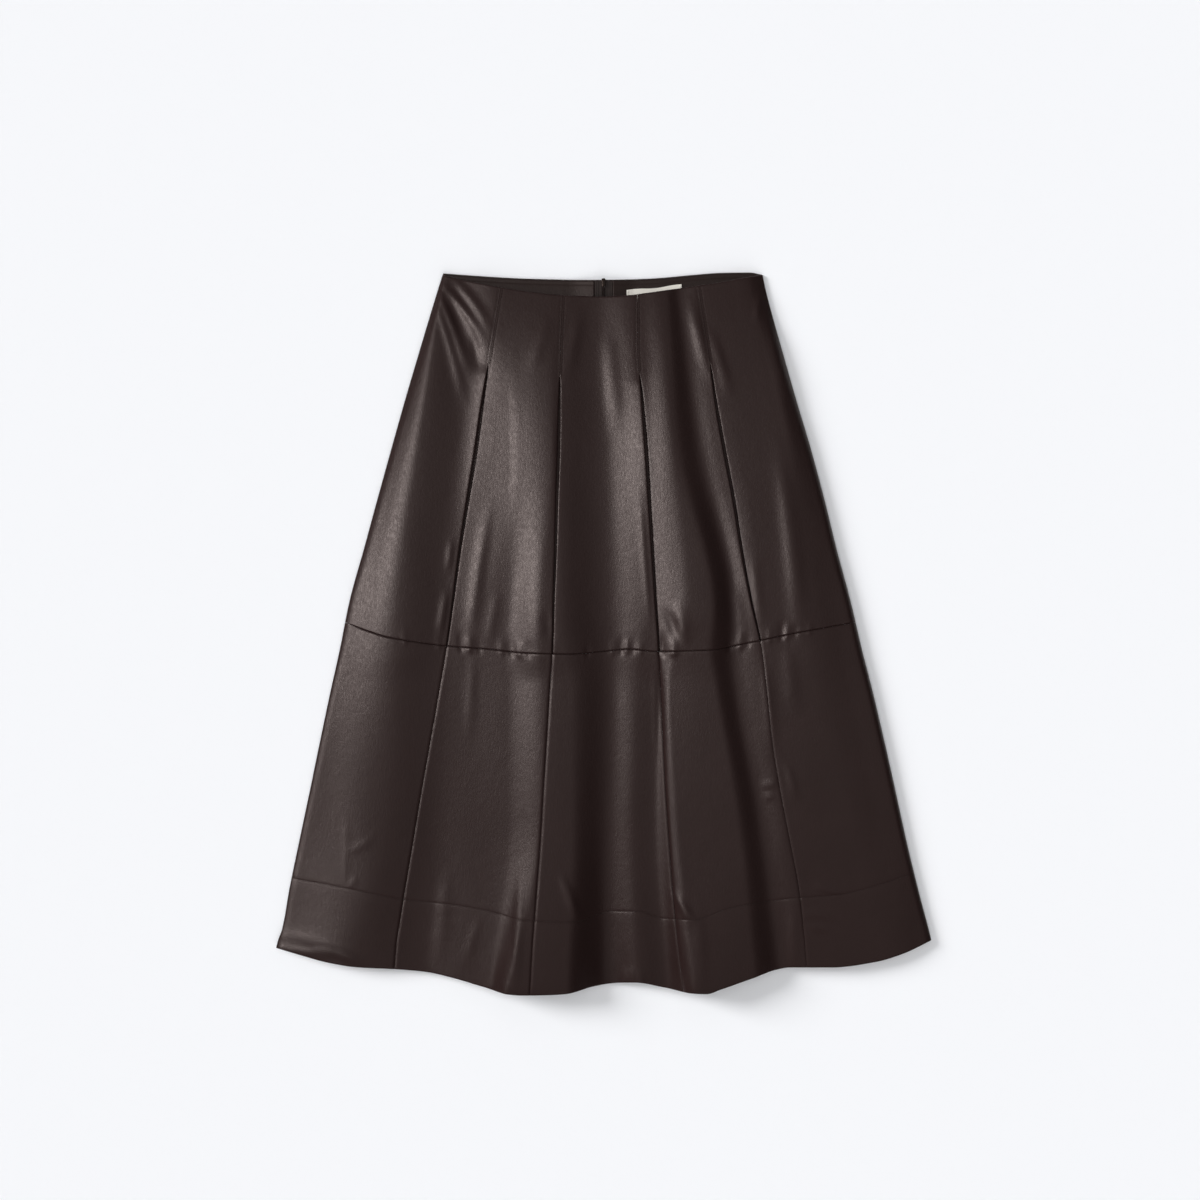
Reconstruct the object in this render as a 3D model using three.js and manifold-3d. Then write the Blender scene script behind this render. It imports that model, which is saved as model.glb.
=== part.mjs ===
// Faux-leather midi skirt, laid flat on its back: front up, waist towards +Y, hem towards -Y.
// Millimetres, +Z up. The origin is the middle of the skirt's outline, on the surface it lies on.
// Two tiers of gores meet at a curved seam at thigh height. Four inverted pleats are stitched
// down below the front waist and open above that seam. The centre-back seam holds a hidden zip.

import * as THREE from 'three';
import Module from 'manifold-3d';
import { mergeVertices } from 'three/addons/utils/BufferGeometryUtils.js';

const wasm = await Module();
wasm.setup();

// Cloth and making-up
const CLOTH = 1.2; // one layer
const SEAM_GAP = 0.3; // between neighbouring pieces
const TURNED = 2 * CLOTH + SEAM_GAP; // a layer with its edge turned under
const DITCH = 1.6; // how far a sewn edge dips towards its seam
const DITCH_WIDTH = 4;
const DITCH_LOW = 5; // no dip where the cloth is lower than this, all of it above the next
const DITCH_FULL = 9;
const WAIST_TURNING = 10;
const HEM_DEPTH = 80; // turned-up hem of the lower tier
const STEP = 1.5; // run over which a turned layer ends
const LIP = 12; // folded edge at each side of a pleat
const PLEAT_STITCHED = 92; // length stitched down below the waist
const PLEAT_MOUTH = 3.4; // widest opening between the folded edges
const MOUTH_OPENS = 60; // run below the stitching over which it opens
const MOUTH_CLOSES = { from: 120, to: 300, share: 0.8 }; // and where it draws together again
const UNDERLAY_WIDTH = 24;
const UNDERLAY_DROP = 4.4; // from the cloth's face to the strip behind a pleat
const SEAM_CLEAR = 2; // how far the strip stops short of the tier seam

// Side roll, where the front turns down to meet the back
const ROLL = 14;
const EDGE_TOP = CLOTH + SEAM_GAP + CLOTH; // top of the front at the side seam
const EDGE_UNDER = CLOTH + SEAM_GAP;
const STEEPEST = 2; // limit on the wall's upright thickness on a steep slope

// Back: flat on the surface, and raised a little over the zip's pull tab
const LIFT = 3;
const LIFT_FLAT_X = 10;
const LIFT_END_X = 34;
const LIFT_FLAT_DEPTH = 32;
const LIFT_END_DEPTH = 52;
const LIFT_ROW = 10;
const HEM_FADE = [5, 40]; // the back's turned hem thins out this near the side seam
const FACING_DEPTH = 54;
const ZIP_LENGTH = 200;
const ZIP_SLIT = 0.9; // half the parting of the back seam along the zip
const TAPE_HALF = 10;
const TAPE_INNER = 1.8;
const TAPE = 0.8;
const TAPE_SETBACK = 2;
const TAPE_SHORT = 10; // how far the tapes and the coil end above the zip's opening
const COIL_SHORT = 12;
const COIL_HALF = 1.5;
const COIL = 1.8;
const COIL_SETBACK = 2.5;
const FACING_SETBACK = 1;
const FACING_SIDE = 4; // how far the facing stops short of the side seam

// Zip slider and pull tab
const SLIDER_LENGTH = 9;
const SLIDER_HALF = 2.2;
const PLATE = 0.6;
const NECK_HALF = 0.5;
const ARCH_WIDE = 0.45; // half the arch's width
const ARCH_CLEAR = 1.2; // room under the arch for the tab's bar
const ARCH_HALF = 3.6; // half the arch's length
const TAB_AXIS_BACK = 5; // from the slider's top edge to the tab's axis
const TAB = 0.7;
const TAB_BAR = 0.7;
const TAB_LENGTH = 20;
const TAB_HALF_TOP = 1.6;
const TAB_HALF_END = 2.6;
const TAB_SLOT = 4.6;
const TAB_SHOULDER = 6;
const TAB_SLOT_HALF = 0.8;

// Label
const LABEL_LEFT = 26;
const LABEL_WIDTH = 62;
const LABEL_TOP = 8; // below the back waist edge
const LABEL_HEIGHT = 30;
const LABEL = 0.6;

// Upright lines of the front, from waist to hem: side edges and the four pleats, which
// go on as the seams of the lower tier
const LINES = [
  { y: 409, left: -181, p1: -113, p2: -45.5, p3: 37.5, p4: 105, right: 179 },
  { y: 390, left: -187, p1: -116, p2: -46, p3: 38, p4: 107.5, right: 183 },
  { y: 322, left: -207.5, p1: -127, p2: -48.5, p3: 38.5, p4: 118, right: 201.5 },
  { y: 266, left: -224, p1: -136, p2: -49.5, p3: 43.5, p4: 126, right: 217.5 },
  { y: 209, left: -240, p1: -144, p2: -50.5, p3: 48, p4: 136, right: 234.5 },
  { y: 153, left: -255.5, p1: -153, p2: -52.5, p3: 51.5, p4: 146.5, right: 249.5 },
  { y: 96, left: -271, p1: -162, p2: -54, p3: 55, p4: 155.5, right: 263.5 },
  { y: 40, left: -286.5, p1: -169.5, p2: -56, p3: 58.5, p4: 166, right: 278.5 },
  { y: -17, left: -298, p1: -177.5, p2: -57.5, p3: 62.5, p4: 178.5, right: 292 },
  { y: -62, left: -308, p1: -185, p2: -60.5, p3: 64.5, p4: 184, right: 303.5 },
  { y: -119, left: -320, p1: -195, p2: -64, p3: 67, p4: 190, right: 317 },
  { y: -175, left: -331.5, p1: -205, p2: -67.5, p3: 70, p4: 199, right: 329.5 },
  { y: -232, left: -343.5, p1: -214.5, p2: -71, p3: 74, p4: 210, right: 342 },
  { y: -288, left: -355, p1: -224, p2: -75, p3: 78, p4: 220.5, right: 355.5 },
  { y: -345, left: -367.5, p1: -233, p2: -79.5, p3: 83.5, p4: 227, right: 369.5 },
  { y: -409, left: -381.5, p1: -238, p2: -83, p3: 91, p4: 231.5, right: 384 },
];

// Cross lines, from the left side to the right
const FRONT_WAIST = [
  { x: -181, y: 406.5 }, { x: -144, y: 398 }, { x: -114, y: 392 }, { x: -84, y: 387.5 },
  { x: -47, y: 383.5 }, { x: -4, y: 382 }, { x: 26, y: 383 }, { x: 47, y: 385.5 },
  { x: 88, y: 391.5 }, { x: 131, y: 398 }, { x: 171, y: 405.5 }, { x: 179, y: 406.5 },
];
const BACK_WAIST = [
  { x: -181, y: 408.5 }, { x: -140, y: 405.5 }, { x: -85, y: 402.5 }, { x: -4, y: 401 },
  { x: 50, y: 402.5 }, { x: 104, y: 407 }, { x: 131, y: 409 }, { x: 165, y: 409.5 },
  { x: 179, y: 407 },
];
const MID_SEAM = [
  { x: -292, y: 14.5 }, { x: -266, y: 4.5 }, { x: -243, y: -2.5 }, { x: -176, y: -12.5 },
  { x: -130, y: -16 }, { x: -85, y: -20.5 }, { x: -40, y: -21.5 }, { x: 5, y: -18 },
  { x: 28, y: -16 }, { x: 60, y: -18.5 }, { x: 118, y: -17 }, { x: 163, y: -9 },
  { x: 208, y: 0.5 }, { x: 254, y: 9 }, { x: 285, y: 14.5 },
];
const FRONT_HEM = [
  { x: -369.5, y: -353 }, { x: -316, y: -368.5 }, { x: -293, y: -374 }, { x: -234, y: -376.5 },
  { x: -180, y: -384.5 }, { x: -126, y: -401.5 }, { x: -85, y: -409 }, { x: -58, y: -407.5 },
  { x: -17, y: -399 }, { x: 28, y: -392 }, { x: 77, y: -400.5 }, { x: 114, y: -409 },
  { x: 132, y: -401 }, { x: 159, y: -391 }, { x: 186, y: -381 }, { x: 213, y: -375.5 },
  { x: 281, y: -373 }, { x: 308, y: -368.5 }, { x: 335, y: -359.5 }, { x: 369.5, y: -344 },
];
const BACK_HEM = { left: -353, right: -344, halfWidth: 369.5, drop: 30 };

// Long folds of the front: where each crest or valley runs, and the height of the cloth's
// face on it, at five levels from the waist to the hem
const LEVELS = { waist: 390, hip: 209, mid: -17, knee: -209, hem: -395 };
const FOLDS = [
  { name: 'left shoulder', edge: 'left', z: [7, 10, 10, 8, 5] },
  { name: 'left crest', x: [-156, -221, -262, -284, -312], z: [9, 15.5, 16, 13, 7.5] },
  { name: 'left valley', x: [-126, -180, -198, -224, -258], z: [10.5, 11.5, 9.5, 7.5, 6] },
  { name: 'left centre crest', x: [-75, -66, -65, -75, -90], z: [14.5, 19, 22, 27, 34] },
  { name: 'centre valley', x: [-8, -13, 3, 3, 9], z: [16, 15.5, 12, 9.5, 8] },
  { name: 'right centre crest', x: [45, 68, 109, 113, 110], z: [16.5, 19.5, 22, 26, 33] },
  { name: 'right valley', x: [92, 112, 149, 186, 216], z: [13, 13, 10.5, 8, 7] },
  { name: 'right crest', x: [138, 202, 236, 265, 300], z: [10, 14.5, 15, 12.5, 8.5] },
  { name: 'right shoulder', edge: 'right', z: [7, 10, 10, 8, 5] },
];

const LEATHER = new THREE.MeshStandardMaterial({ color: '#2f2624', roughness: 0.45, metalness: 0 });
const LEATHER_INSIDE = new THREE.MeshStandardMaterial({ color: '#231c1b', roughness: 0.7, metalness: 0 });
const TAPE_CLOTH = new THREE.MeshStandardMaterial({ color: '#2b2422', roughness: 0.9, metalness: 0 });
const NYLON = new THREE.MeshStandardMaterial({ color: '#2a2422', roughness: 0.5, metalness: 0 });
const ZINC = new THREE.MeshStandardMaterial({ color: '#3a3432', roughness: 0.35, metalness: 0.8 });
const SATIN = new THREE.MeshStandardMaterial({ color: '#e9e4dc', roughness: 0.5, metalness: 0 });

// Smooth interpolation that never overshoots its points, straight beyond the ends
function smoothCurve(xs, ys) {
  const last = xs.length - 1;
  const slopes = xs.slice(1).map((x, i) => (ys[i + 1] - ys[i]) / (x - xs[i]));
  const tangents = xs.map((x, i) => {
    if (i === 0) return slopes[0];
    if (i === last) return slopes[last - 1];
    const before = slopes[i - 1];
    const after = slopes[i];
    return before * after <= 0 ? 0 : (2 * before * after) / (before + after);
  });
  return (x) => {
    if (x <= xs[0]) return ys[0] + tangents[0] * (x - xs[0]);
    if (x >= xs[last]) return ys[last] + tangents[last] * (x - xs[last]);
    let i = 0;
    while (x > xs[i + 1]) i += 1;
    const run = xs[i + 1] - xs[i];
    const t = (x - xs[i]) / run;
    const far = t * t * (3 - 2 * t);
    const rise = t * (1 - t) * (1 - t) * tangents[i] - t * t * (1 - t) * tangents[i + 1];
    return ys[i] * (1 - far) + ys[i + 1] * far + rise * run;
  };
}

const across = (rows) => smoothCurve(rows.map((r) => r.x), rows.map((r) => r.y));
const upright = (name) => {
  const rows = [...LINES].reverse();
  return smoothCurve(rows.map((r) => r.y), rows.map((r) => r[name]));
};
const line = Object.fromEntries(['left', 'p1', 'p2', 'p3', 'p4', 'right'].map((n) => [n, upright(n)]));
const frontWaist = across(FRONT_WAIST);
const backWaist = across(BACK_WAIST);
const midSeam = across(MID_SEAM);
const frontHem = across(FRONT_HEM);
const backHem = (x) => {
  const { left, right, halfWidth, drop } = BACK_HEM;
  const share = x / halfWidth;
  return (left + right) / 2 + ((right - left) / 2) * share - drop * (1 - share * share);
};
const SETTLE = 6; // passes that bring a grid point onto its slanted and curved lines
const ramp = (d, start, end) => Math.min(1, Math.max(0, (d - start) / (end - start)));

// Height of the front's face, from the folds and the roll at each side
const levels = Object.values(LEVELS).reverse();
const folds = FOLDS.map((fold) => ({
  x: fold.edge ? line[fold.edge] : smoothCurve(levels, [...fold.x].reverse()),
  z: smoothCurve(levels, [...fold.z].reverse()),
}));
function frontHeight(x, y) {
  const level = Math.min(LEVELS.waist, Math.max(LEVELS.hem, y));
  const z = smoothCurve(folds.map((f) => f.x(y)), folds.map((f) => f.z(level)))(x);
  const inside = Math.max(0, Math.min(x - line.left(y), line.right(y) - x));
  const short = 1 - ramp(inside, 0, ROLL);
  return EDGE_TOP + (z - EDGE_TOP) * Math.sqrt(1 - short * short);
}
function steepness(x, y) {
  const slopeX = (frontHeight(x + 1, y) - frontHeight(x - 1, y)) / 2;
  const slopeY = (frontHeight(x, y + 1) - frontHeight(x, y - 1)) / 2;
  return Math.min(STEEPEST, Math.hypot(1, slopeX, slopeY));
}

// How far the back is raised by the pull tab under it
function backLift(x, y) {
  const side = 1 - ramp(Math.abs(x), LIFT_FLAT_X, LIFT_END_X);
  const depth = backWaist(x) - y;
  return LIFT * side * (1 - ramp(depth, LIFT_FLAT_DEPTH, LIFT_END_DEPTH));
}

const liftRows = [0, LIFT_ROW, LIFT_FLAT_DEPTH, LIFT_END_DEPTH].map((d) => [0, d]);

// A closed wall over a grid of rows and columns. Each row or column is a share of the way
// across the piece and a distance in millimetres from there.
function wall(name, { left, right, upper, lower }, columns, rows, top, under, material) {
  const grid = rows.map(([rowShare, rowShift]) => columns.map(([share, shift]) => {
    let y = 0;
    let x = 0;
    for (let pass = 0; pass < SETTLE; pass += 1) {
      y = upper(x) + rowShare * (lower(x) - upper(x)) - rowShift;
      x = left(y) + share * (right(y) - left(y)) + shift;
    }
    return [x, y];
  }));
  const wide = columns.length;
  const tall = rows.length;
  const points = [];
  [top, under].forEach((height) => grid.flat().forEach(([x, y]) => points.push(x, y, height(x, y))));
  const at = (row, column, layer) => layer * wide * tall + row * wide + column;
  const faces = [];
  const quad = (a, b, c, d) => faces.push(a, b, c, a, c, d);
  for (let r = 0; r < tall - 1; r += 1) {
    for (let c = 0; c < wide - 1; c += 1) {
      quad(at(r, c, 0), at(r + 1, c, 0), at(r + 1, c + 1, 0), at(r, c + 1, 0));
      faces.push(at(r, c, 1), at(r + 1, c + 1, 1), at(r + 1, c, 1));
      faces.push(at(r, c, 1), at(r, c + 1, 1), at(r + 1, c + 1, 1));
    }
  }
  for (let c = 0; c < wide - 1; c += 1) {
    quad(at(0, c, 0), at(0, c + 1, 0), at(0, c + 1, 1), at(0, c, 1));
    quad(at(tall - 1, c + 1, 0), at(tall - 1, c, 0), at(tall - 1, c, 1), at(tall - 1, c + 1, 1));
  }
  for (let r = 0; r < tall - 1; r += 1) {
    quad(at(r + 1, 0, 0), at(r, 0, 0), at(r, 0, 1), at(r + 1, 0, 1));
    quad(at(r, wide - 1, 0), at(r + 1, wide - 1, 0), at(r + 1, wide - 1, 1), at(r, wide - 1, 1));
  }
  const geometry = new THREE.BufferGeometry();
  geometry.setAttribute('position', new THREE.Float32BufferAttribute(points, 3));
  geometry.setIndex(faces);
  geometry.computeVertexNormals();
  const mesh = new THREE.Mesh(geometry, material);
  mesh.name = name;
  return mesh;
}

const shares = (count) => Array.from({ length: count - 1 }, (_, i) => [(i + 1) / count, 0]);
const skirt = new THREE.Group();

// Front: five gores in each tier
const frontSeams = ['left', 'p1', 'p2', 'p3', 'p4', 'right'];
const isPleat = (name) => name !== 'left' && name !== 'right';
const pleatDepth = (x, y) => frontWaist(x) - y;

// Half the opening of a pleat at a height: shut where it is stitched, widest below that
function mouthHalf(x, y) {
  const below = pleatDepth(x, y) - PLEAT_STITCHED;
  const closing = MOUTH_CLOSES.share * ramp(below, MOUTH_CLOSES.from, MOUTH_CLOSES.to);
  const open = ramp(below, 0, MOUTH_OPENS) * (1 - closing);
  return (SEAM_GAP + (PLEAT_MOUTH - SEAM_GAP) * open) / 2;
}

function frontGore(index, tier) {
  const [leftName, rightName] = [frontSeams[index], frontSeams[index + 1]];
  const pleated = tier === 'upper';
  const edgeGap = (name, y) => {
    if (!isPleat(name)) return 0;
    return pleated ? mouthHalf(line[name](y), y) : SEAM_GAP / 2;
  };
  const bounds = {
    left: (y) => line[leftName](y) + edgeGap(leftName, y),
    right: (y) => line[rightName](y) - edgeGap(rightName, y),
    upper: pleated ? frontWaist : (x) => midSeam(x) - SEAM_GAP / 2,
    lower: pleated ? (x) => midSeam(x) + SEAM_GAP / 2 : frontHem,
  };
  const seamColumns = pleated ? [0, DITCH_WIDTH, LIP, LIP + STEP] : [0, DITCH_WIDTH, LIP];
  const rollColumns = [0, 1.5, 5, ROLL];
  const nearLeft = (isPleat(leftName) ? seamColumns : rollColumns).map((d) => [0, d]);
  const nearRight = (isPleat(rightName) ? seamColumns : rollColumns).map((d) => [1, -d]).reverse();
  const columns = [...nearLeft, [0.35, 0], [0.65, 0], ...nearRight];
  const topRows = pleated ? [0, WAIST_TURNING, WAIST_TURNING + STEP] : [0, DITCH_WIDTH];
  const endRows = pleated ? [DITCH_WIDTH, 0] : [HEM_DEPTH + STEP, HEM_DEPTH, 0];
  const middleRows = pleated ? shares(13) : shares(13).filter(([share]) => share < 0.75);
  const hemRows = pleated ? [] : [2 / 3, 1 / 3].map((share) => [1, -share * HEM_DEPTH]);
  const rows = [
    ...topRows.map((d) => [0, d]),
    ...middleRows,
    ...endRows.slice(0, -1).map((d) => [1, -d]),
    ...hemRows,
    [1, 0],
  ];
  const toSide = (name, x, y) => (isPleat(name) ? Math.abs(x - line[name](y)) - edgeGap(name, y) : Infinity);
  const toSeam = (x, y) => Math.min(toSide(leftName, x, y), toSide(rightName, x, y));
  const top = (x, y) => {
    const fromMid = Math.abs(y - midSeam(x)) - SEAM_GAP / 2;
    const near = Math.min(toSeam(x, y), fromMid);
    const height = frontHeight(x, y);
    return height - DITCH * (1 - ramp(near, 0, DITCH_WIDTH)) * ramp(height, DITCH_LOW, DITCH_FULL);
  };
  const layers = (x, y) => {
    if (!pleated) return y - frontHem(x) < HEM_DEPTH + STEP / 2 ? TURNED : CLOTH;
    const turned = frontWaist(x) - y < WAIST_TURNING + STEP / 2 || toSeam(x, y) < LIP + STEP / 2;
    return turned ? TURNED : CLOTH;
  };
  const under = (x, y) => {
    const inside = Math.min(x - line.left(y), line.right(y) - x);
    const thick = CLOTH * steepness(x, y) + (layers(x, y) - CLOTH) * ramp(inside, 0, ROLL);
    return Math.max(EDGE_UNDER, top(x, y) - thick);
  };
  return wall(`front_${tier}_${index + 1}`, bounds, columns, rows, top, under, LEATHER);
}
for (let i = 0; i < 5; i += 1) skirt.add(frontGore(i, 'upper'));
for (let i = 0; i < 5; i += 1) skirt.add(frontGore(i, 'lower'));

// The inside of each pleat, a strip behind the two folded edges
['p1', 'p2', 'p3', 'p4'].forEach((name, index) => {
  const half = UNDERLAY_WIDTH / 2 - SEAM_GAP;
  const bounds = {
    left: (y) => line[name](y) - half,
    right: (y) => line[name](y) + half,
    upper: (x) => frontWaist(x) - PLEAT_STITCHED + LIP,
    lower: (x) => midSeam(x) + SEAM_CLEAR,
  };
  const top = (x, y) => frontHeight(x, y) - UNDERLAY_DROP;
  const under = (x, y) => top(x, y) - CLOTH;
  const columns = [[0, 0], [0.5, 0], [1, 0]];
  const rows = [[0, 0], ...shares(10), [1, 0]];
  skirt.add(wall(`pleat_underlay_${index + 1}`, bounds, columns, rows, top, under, LEATHER));
});

// Back: six plain gores in each tier, on the lines of the front, with a centre-back seam
const centre = () => 0;
const backSeams = [line.left, line.p1, line.p2, centre, line.p3, line.p4, line.right];
function backGore(index, tier) {
  const [leftLine, rightLine] = [backSeams[index], backSeams[index + 1]];
  const gap = (seam, y) => {
    if (seam === line.left || seam === line.right) return 0;
    const zipped = seam === centre && y > backWaist(0) - ZIP_LENGTH;
    return zipped ? ZIP_SLIT : SEAM_GAP / 2;
  };
  const bounds = {
    left: (y) => leftLine(y) + gap(leftLine, y),
    right: (y) => rightLine(y) - gap(rightLine, y),
    upper: tier === 'upper' ? backWaist : (x) => midSeam(x) - SEAM_GAP / 2,
    lower: tier === 'upper' ? (x) => midSeam(x) + SEAM_GAP / 2 : backHem,
  };
  const liftColumns = [LIFT_FLAT_X - ZIP_SLIT, LIFT_END_X - ZIP_SLIT];
  let columns = [[0, 0], [0.33, 0], [0.67, 0], [1, 0]];
  if (leftLine === centre) columns = [[0, 0], ...liftColumns.map((d) => [0, d]), [1, 0]];
  if (rightLine === centre) columns = [[0, 0], ...liftColumns.reverse().map((d) => [1, -d]), [1, 0]];
  const zipEnd = [[0, ZIP_LENGTH - 1], [0, ZIP_LENGTH + 1]];
  const upperRows = [...liftRows, [0.3, 0], ...zipEnd, [0.7, 0], [0.85, 0], [1, 0]];
  const hemTop = [[1, -HEM_DEPTH - STEP], [1, -HEM_DEPTH]];
  const lowerRows = [[0, 0], ...shares(4).slice(0, 2), ...hemTop, [1, 0]];
  const rows = tier === 'upper' ? upperRows : lowerRows;
  const lift = tier === 'upper' ? backLift : () => 0;
  const layers = (x, y) => (tier === 'lower' && y - backHem(x) < HEM_DEPTH + STEP / 2 ? TURNED : CLOTH);
  const edgeInside = (x, y) => Math.min(x - line.left(y), line.right(y) - x);
  const hem = (x, y) => (layers(x, y) - CLOTH) * ramp(edgeInside(x, y), ...HEM_FADE);
  const top = (x, y) => lift(x, y) + CLOTH + hem(x, y);
  return wall(`back_${tier}_${index + 1}`, bounds, columns, rows, top, lift, LEATHER);
}
for (let i = 0; i < 6; i += 1) skirt.add(backGore(i, 'upper'));
for (let i = 0; i < 6; i += 1) skirt.add(backGore(i, 'lower'));

// Inside the back waist: a facing in two halves, with the zip between their folded edges
const onBack = (x, y) => CLOTH + backLift(x, y);
const facingTop = (x, y) => onBack(x, y) + SEAM_GAP + CLOTH;
const facingUnder = (x, y) => onBack(x, y) + SEAM_GAP;
const facingRows = [[0, FACING_SETBACK], ...liftRows.slice(1), [0, FACING_DEPTH]];
[['left', -1], ['right', 1]].forEach(([side, sign]) => {
  const inner = () => sign * (TAPE_HALF + SEAM_GAP);
  const outer = (y) => line[side](y) - sign * FACING_SIDE;
  const inwards = [0, LIFT_END_X - TAPE_HALF - SEAM_GAP].map((d) => [sign > 0 ? 0 : 1, sign * d]);
  const spread = [0.45, 0.72, 1].map((share) => [sign > 0 ? share : 1 - share, 0]);
  const columns = sign > 0 ? [...inwards, ...spread] : [...spread.reverse(), ...inwards.reverse()];
  const bounds = {
    left: sign > 0 ? inner : outer,
    right: sign > 0 ? outer : inner,
    upper: backWaist,
    lower: backWaist,
  };
  const name = `back_facing_${side}`;
  skirt.add(wall(name, bounds, columns, facingRows, facingTop, facingUnder, LEATHER_INSIDE));
});

// Zip: two tapes and the closed coil between them
const zipRows = [[0, TAPE_SETBACK], ...liftRows.slice(1), [0, ZIP_LENGTH - TAPE_SHORT]];
const zipBounds = (from, to) => ({ left: () => from, right: () => to, upper: backWaist, lower: backWaist });
const edges = [[0, 0], [1, 0]];
const tapeUnder = (x, y) => CLOTH + backLift(TAPE_HALF, y) + SEAM_GAP;
[['left', -TAPE_HALF, -TAPE_INNER], ['right', TAPE_INNER, TAPE_HALF]].forEach(([side, from, to]) => {
  const top = (x, y) => tapeUnder(x, y) + TAPE;
  skirt.add(wall(`zip_tape_${side}`, zipBounds(from, to), edges, zipRows, top, tapeUnder, TAPE_CLOTH));
});
const coilRows = [[0, COIL_SETBACK], ...liftRows.slice(1), [0, ZIP_LENGTH - COIL_SHORT]];
const coilBounds = zipBounds(-COIL_HALF, COIL_HALF);
const coilTop = (x, y) => tapeUnder(x, y) + COIL;
skirt.add(wall('zip_coil', coilBounds, edges, coilRows, coilTop, tapeUnder, NYLON));

// Woven label, sewn to the right half of the facing
const labelBounds = {
  left: () => LABEL_LEFT,
  right: () => LABEL_LEFT + LABEL_WIDTH,
  upper: backWaist,
  lower: backWaist,
};
const labelColumns = [[0, 0], [0, LIFT_END_X - LABEL_LEFT], [0.6, 0], [1, 0]];
const labelRows = [[0, LABEL_TOP], [0, LIFT_FLAT_DEPTH], [0, LABEL_TOP + LABEL_HEIGHT]];
const labelUnder = (x, y) => facingTop(x, y) + SEAM_GAP;
const labelTop = (x, y) => labelUnder(x, y) + LABEL;
skirt.add(wall('label', labelBounds, labelColumns, labelRows, labelTop, labelUnder, SATIN));

// Zip slider at the top of the coil: a body inside, a neck between the back's edges, and an
// outer plate with the arch that the pull tab hangs from
function solid(geometry) {
  geometry.deleteAttribute('normal');
  geometry.deleteAttribute('uv');
  const merged = mergeVertices(geometry, 1e-4);
  const vertProperties = new Float32Array(merged.attributes.position.array);
  const triVerts = new Uint32Array(merged.index.array);
  return new wasm.Manifold(new wasm.Mesh({ numProp: 3, vertProperties, triVerts }));
}
function block(halfX, y0, y1, z0, z1) {
  const geometry = new THREE.BoxGeometry(2 * halfX, y1 - y0, z1 - z0);
  geometry.translate(0, (y0 + y1) / 2, (z0 + z1) / 2);
  return solid(geometry);
}
// A plate with a rounded outline, lying level
function plate(halfTop, halfEnd, y0, y1, z0, z1) {
  const shape = new THREE.Shape();
  shape.moveTo(-halfEnd, y0 + halfEnd * 0.5);
  shape.quadraticCurveTo(-halfEnd, y0, 0, y0);
  shape.quadraticCurveTo(halfEnd, y0, halfEnd, y0 + halfEnd * 0.5);
  shape.lineTo(halfTop, y1 - halfTop * 0.6);
  shape.quadraticCurveTo(halfTop, y1, 0, y1);
  shape.quadraticCurveTo(-halfTop, y1, -halfTop, y1 - halfTop * 0.6);
  shape.closePath();
  const geometry = new THREE.ExtrudeGeometry(shape, { depth: z1 - z0, bevelEnabled: false, curveSegments: 5 });
  geometry.translate(0, 0, z0);
  return solid(geometry);
}
function meshOf(body, name, material) {
  const { vertProperties, triVerts } = body.getMesh();
  const geometry = new THREE.BufferGeometry();
  geometry.setAttribute('position', new THREE.BufferAttribute(new Float32Array(vertProperties), 3));
  geometry.setIndex(new THREE.BufferAttribute(new Uint32Array(triVerts), 1));
  const mesh = new THREE.Mesh(geometry, material);
  mesh.name = name;
  return mesh;
}
const zipTop = backWaist(0);
const sliderTop = zipTop + 1.5;
const sliderEnd = sliderTop - SLIDER_LENGTH;
const coilFace = tapeUnder(0, zipTop - COIL_SETBACK) + COIL;
const bodyUnder = coilFace + SEAM_GAP;
const outerTop = LIFT - SEAM_GAP;
const outerUnder = outerTop - PLATE;
const neckEnd = zipTop - COIL_SETBACK + SEAM_GAP;
const archUnder = outerUnder - ARCH_CLEAR;
const archNear = TAB_AXIS_BACK - ARCH_HALF;
const tabAxis = sliderTop - TAB_AXIS_BACK;
const slider = [
  plate(SLIDER_HALF, SLIDER_HALF * 0.75, sliderEnd, sliderTop, bodyUnder, bodyUnder + PLATE),
  block(NECK_HALF, neckEnd, sliderTop - 0.6, outerUnder + 0.1, bodyUnder + 0.1),
  plate(SLIDER_HALF, SLIDER_HALF * 0.75, sliderEnd, sliderTop, outerUnder, outerTop),
  block(ARCH_WIDE, sliderTop - archNear - PLATE, sliderTop - archNear, archUnder - PLATE, outerUnder + 0.1),
  block(ARCH_WIDE, tabAxis - ARCH_HALF, tabAxis - ARCH_HALF + PLATE, archUnder - PLATE, outerUnder + 0.1),
  block(ARCH_WIDE, tabAxis - ARCH_HALF, sliderTop - archNear, archUnder - PLATE, archUnder),
].reduce((joined, piece) => joined.add(piece));
skirt.add(meshOf(slider, 'zip_slider', ZINC));

// Pull tab: a thin drop-shaped plate with a slot, whose top bar passes through the arch
const tabShape = new THREE.Shape();
const bar = TAB_BAR / 2;
tabShape.moveTo(-TAB_HALF_TOP, bar);
tabShape.lineTo(-TAB_HALF_TOP, -TAB_SHOULDER);
tabShape.absarc(0, -TAB_LENGTH + TAB_HALF_END, TAB_HALF_END, Math.PI, 2 * Math.PI, false);
tabShape.lineTo(TAB_HALF_TOP, -TAB_SHOULDER);
tabShape.lineTo(TAB_HALF_TOP, bar);
tabShape.closePath();
const slot = new THREE.Path();
slot.moveTo(-TAB_SLOT_HALF, -bar);
slot.lineTo(TAB_SLOT_HALF, -bar);
slot.lineTo(TAB_SLOT_HALF, -TAB_SLOT);
slot.lineTo(-TAB_SLOT_HALF, -TAB_SLOT);
slot.closePath();
tabShape.holes.push(slot);
const tabGeometry = new THREE.ExtrudeGeometry(tabShape, { depth: TAB, bevelEnabled: false, curveSegments: 10 });
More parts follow.
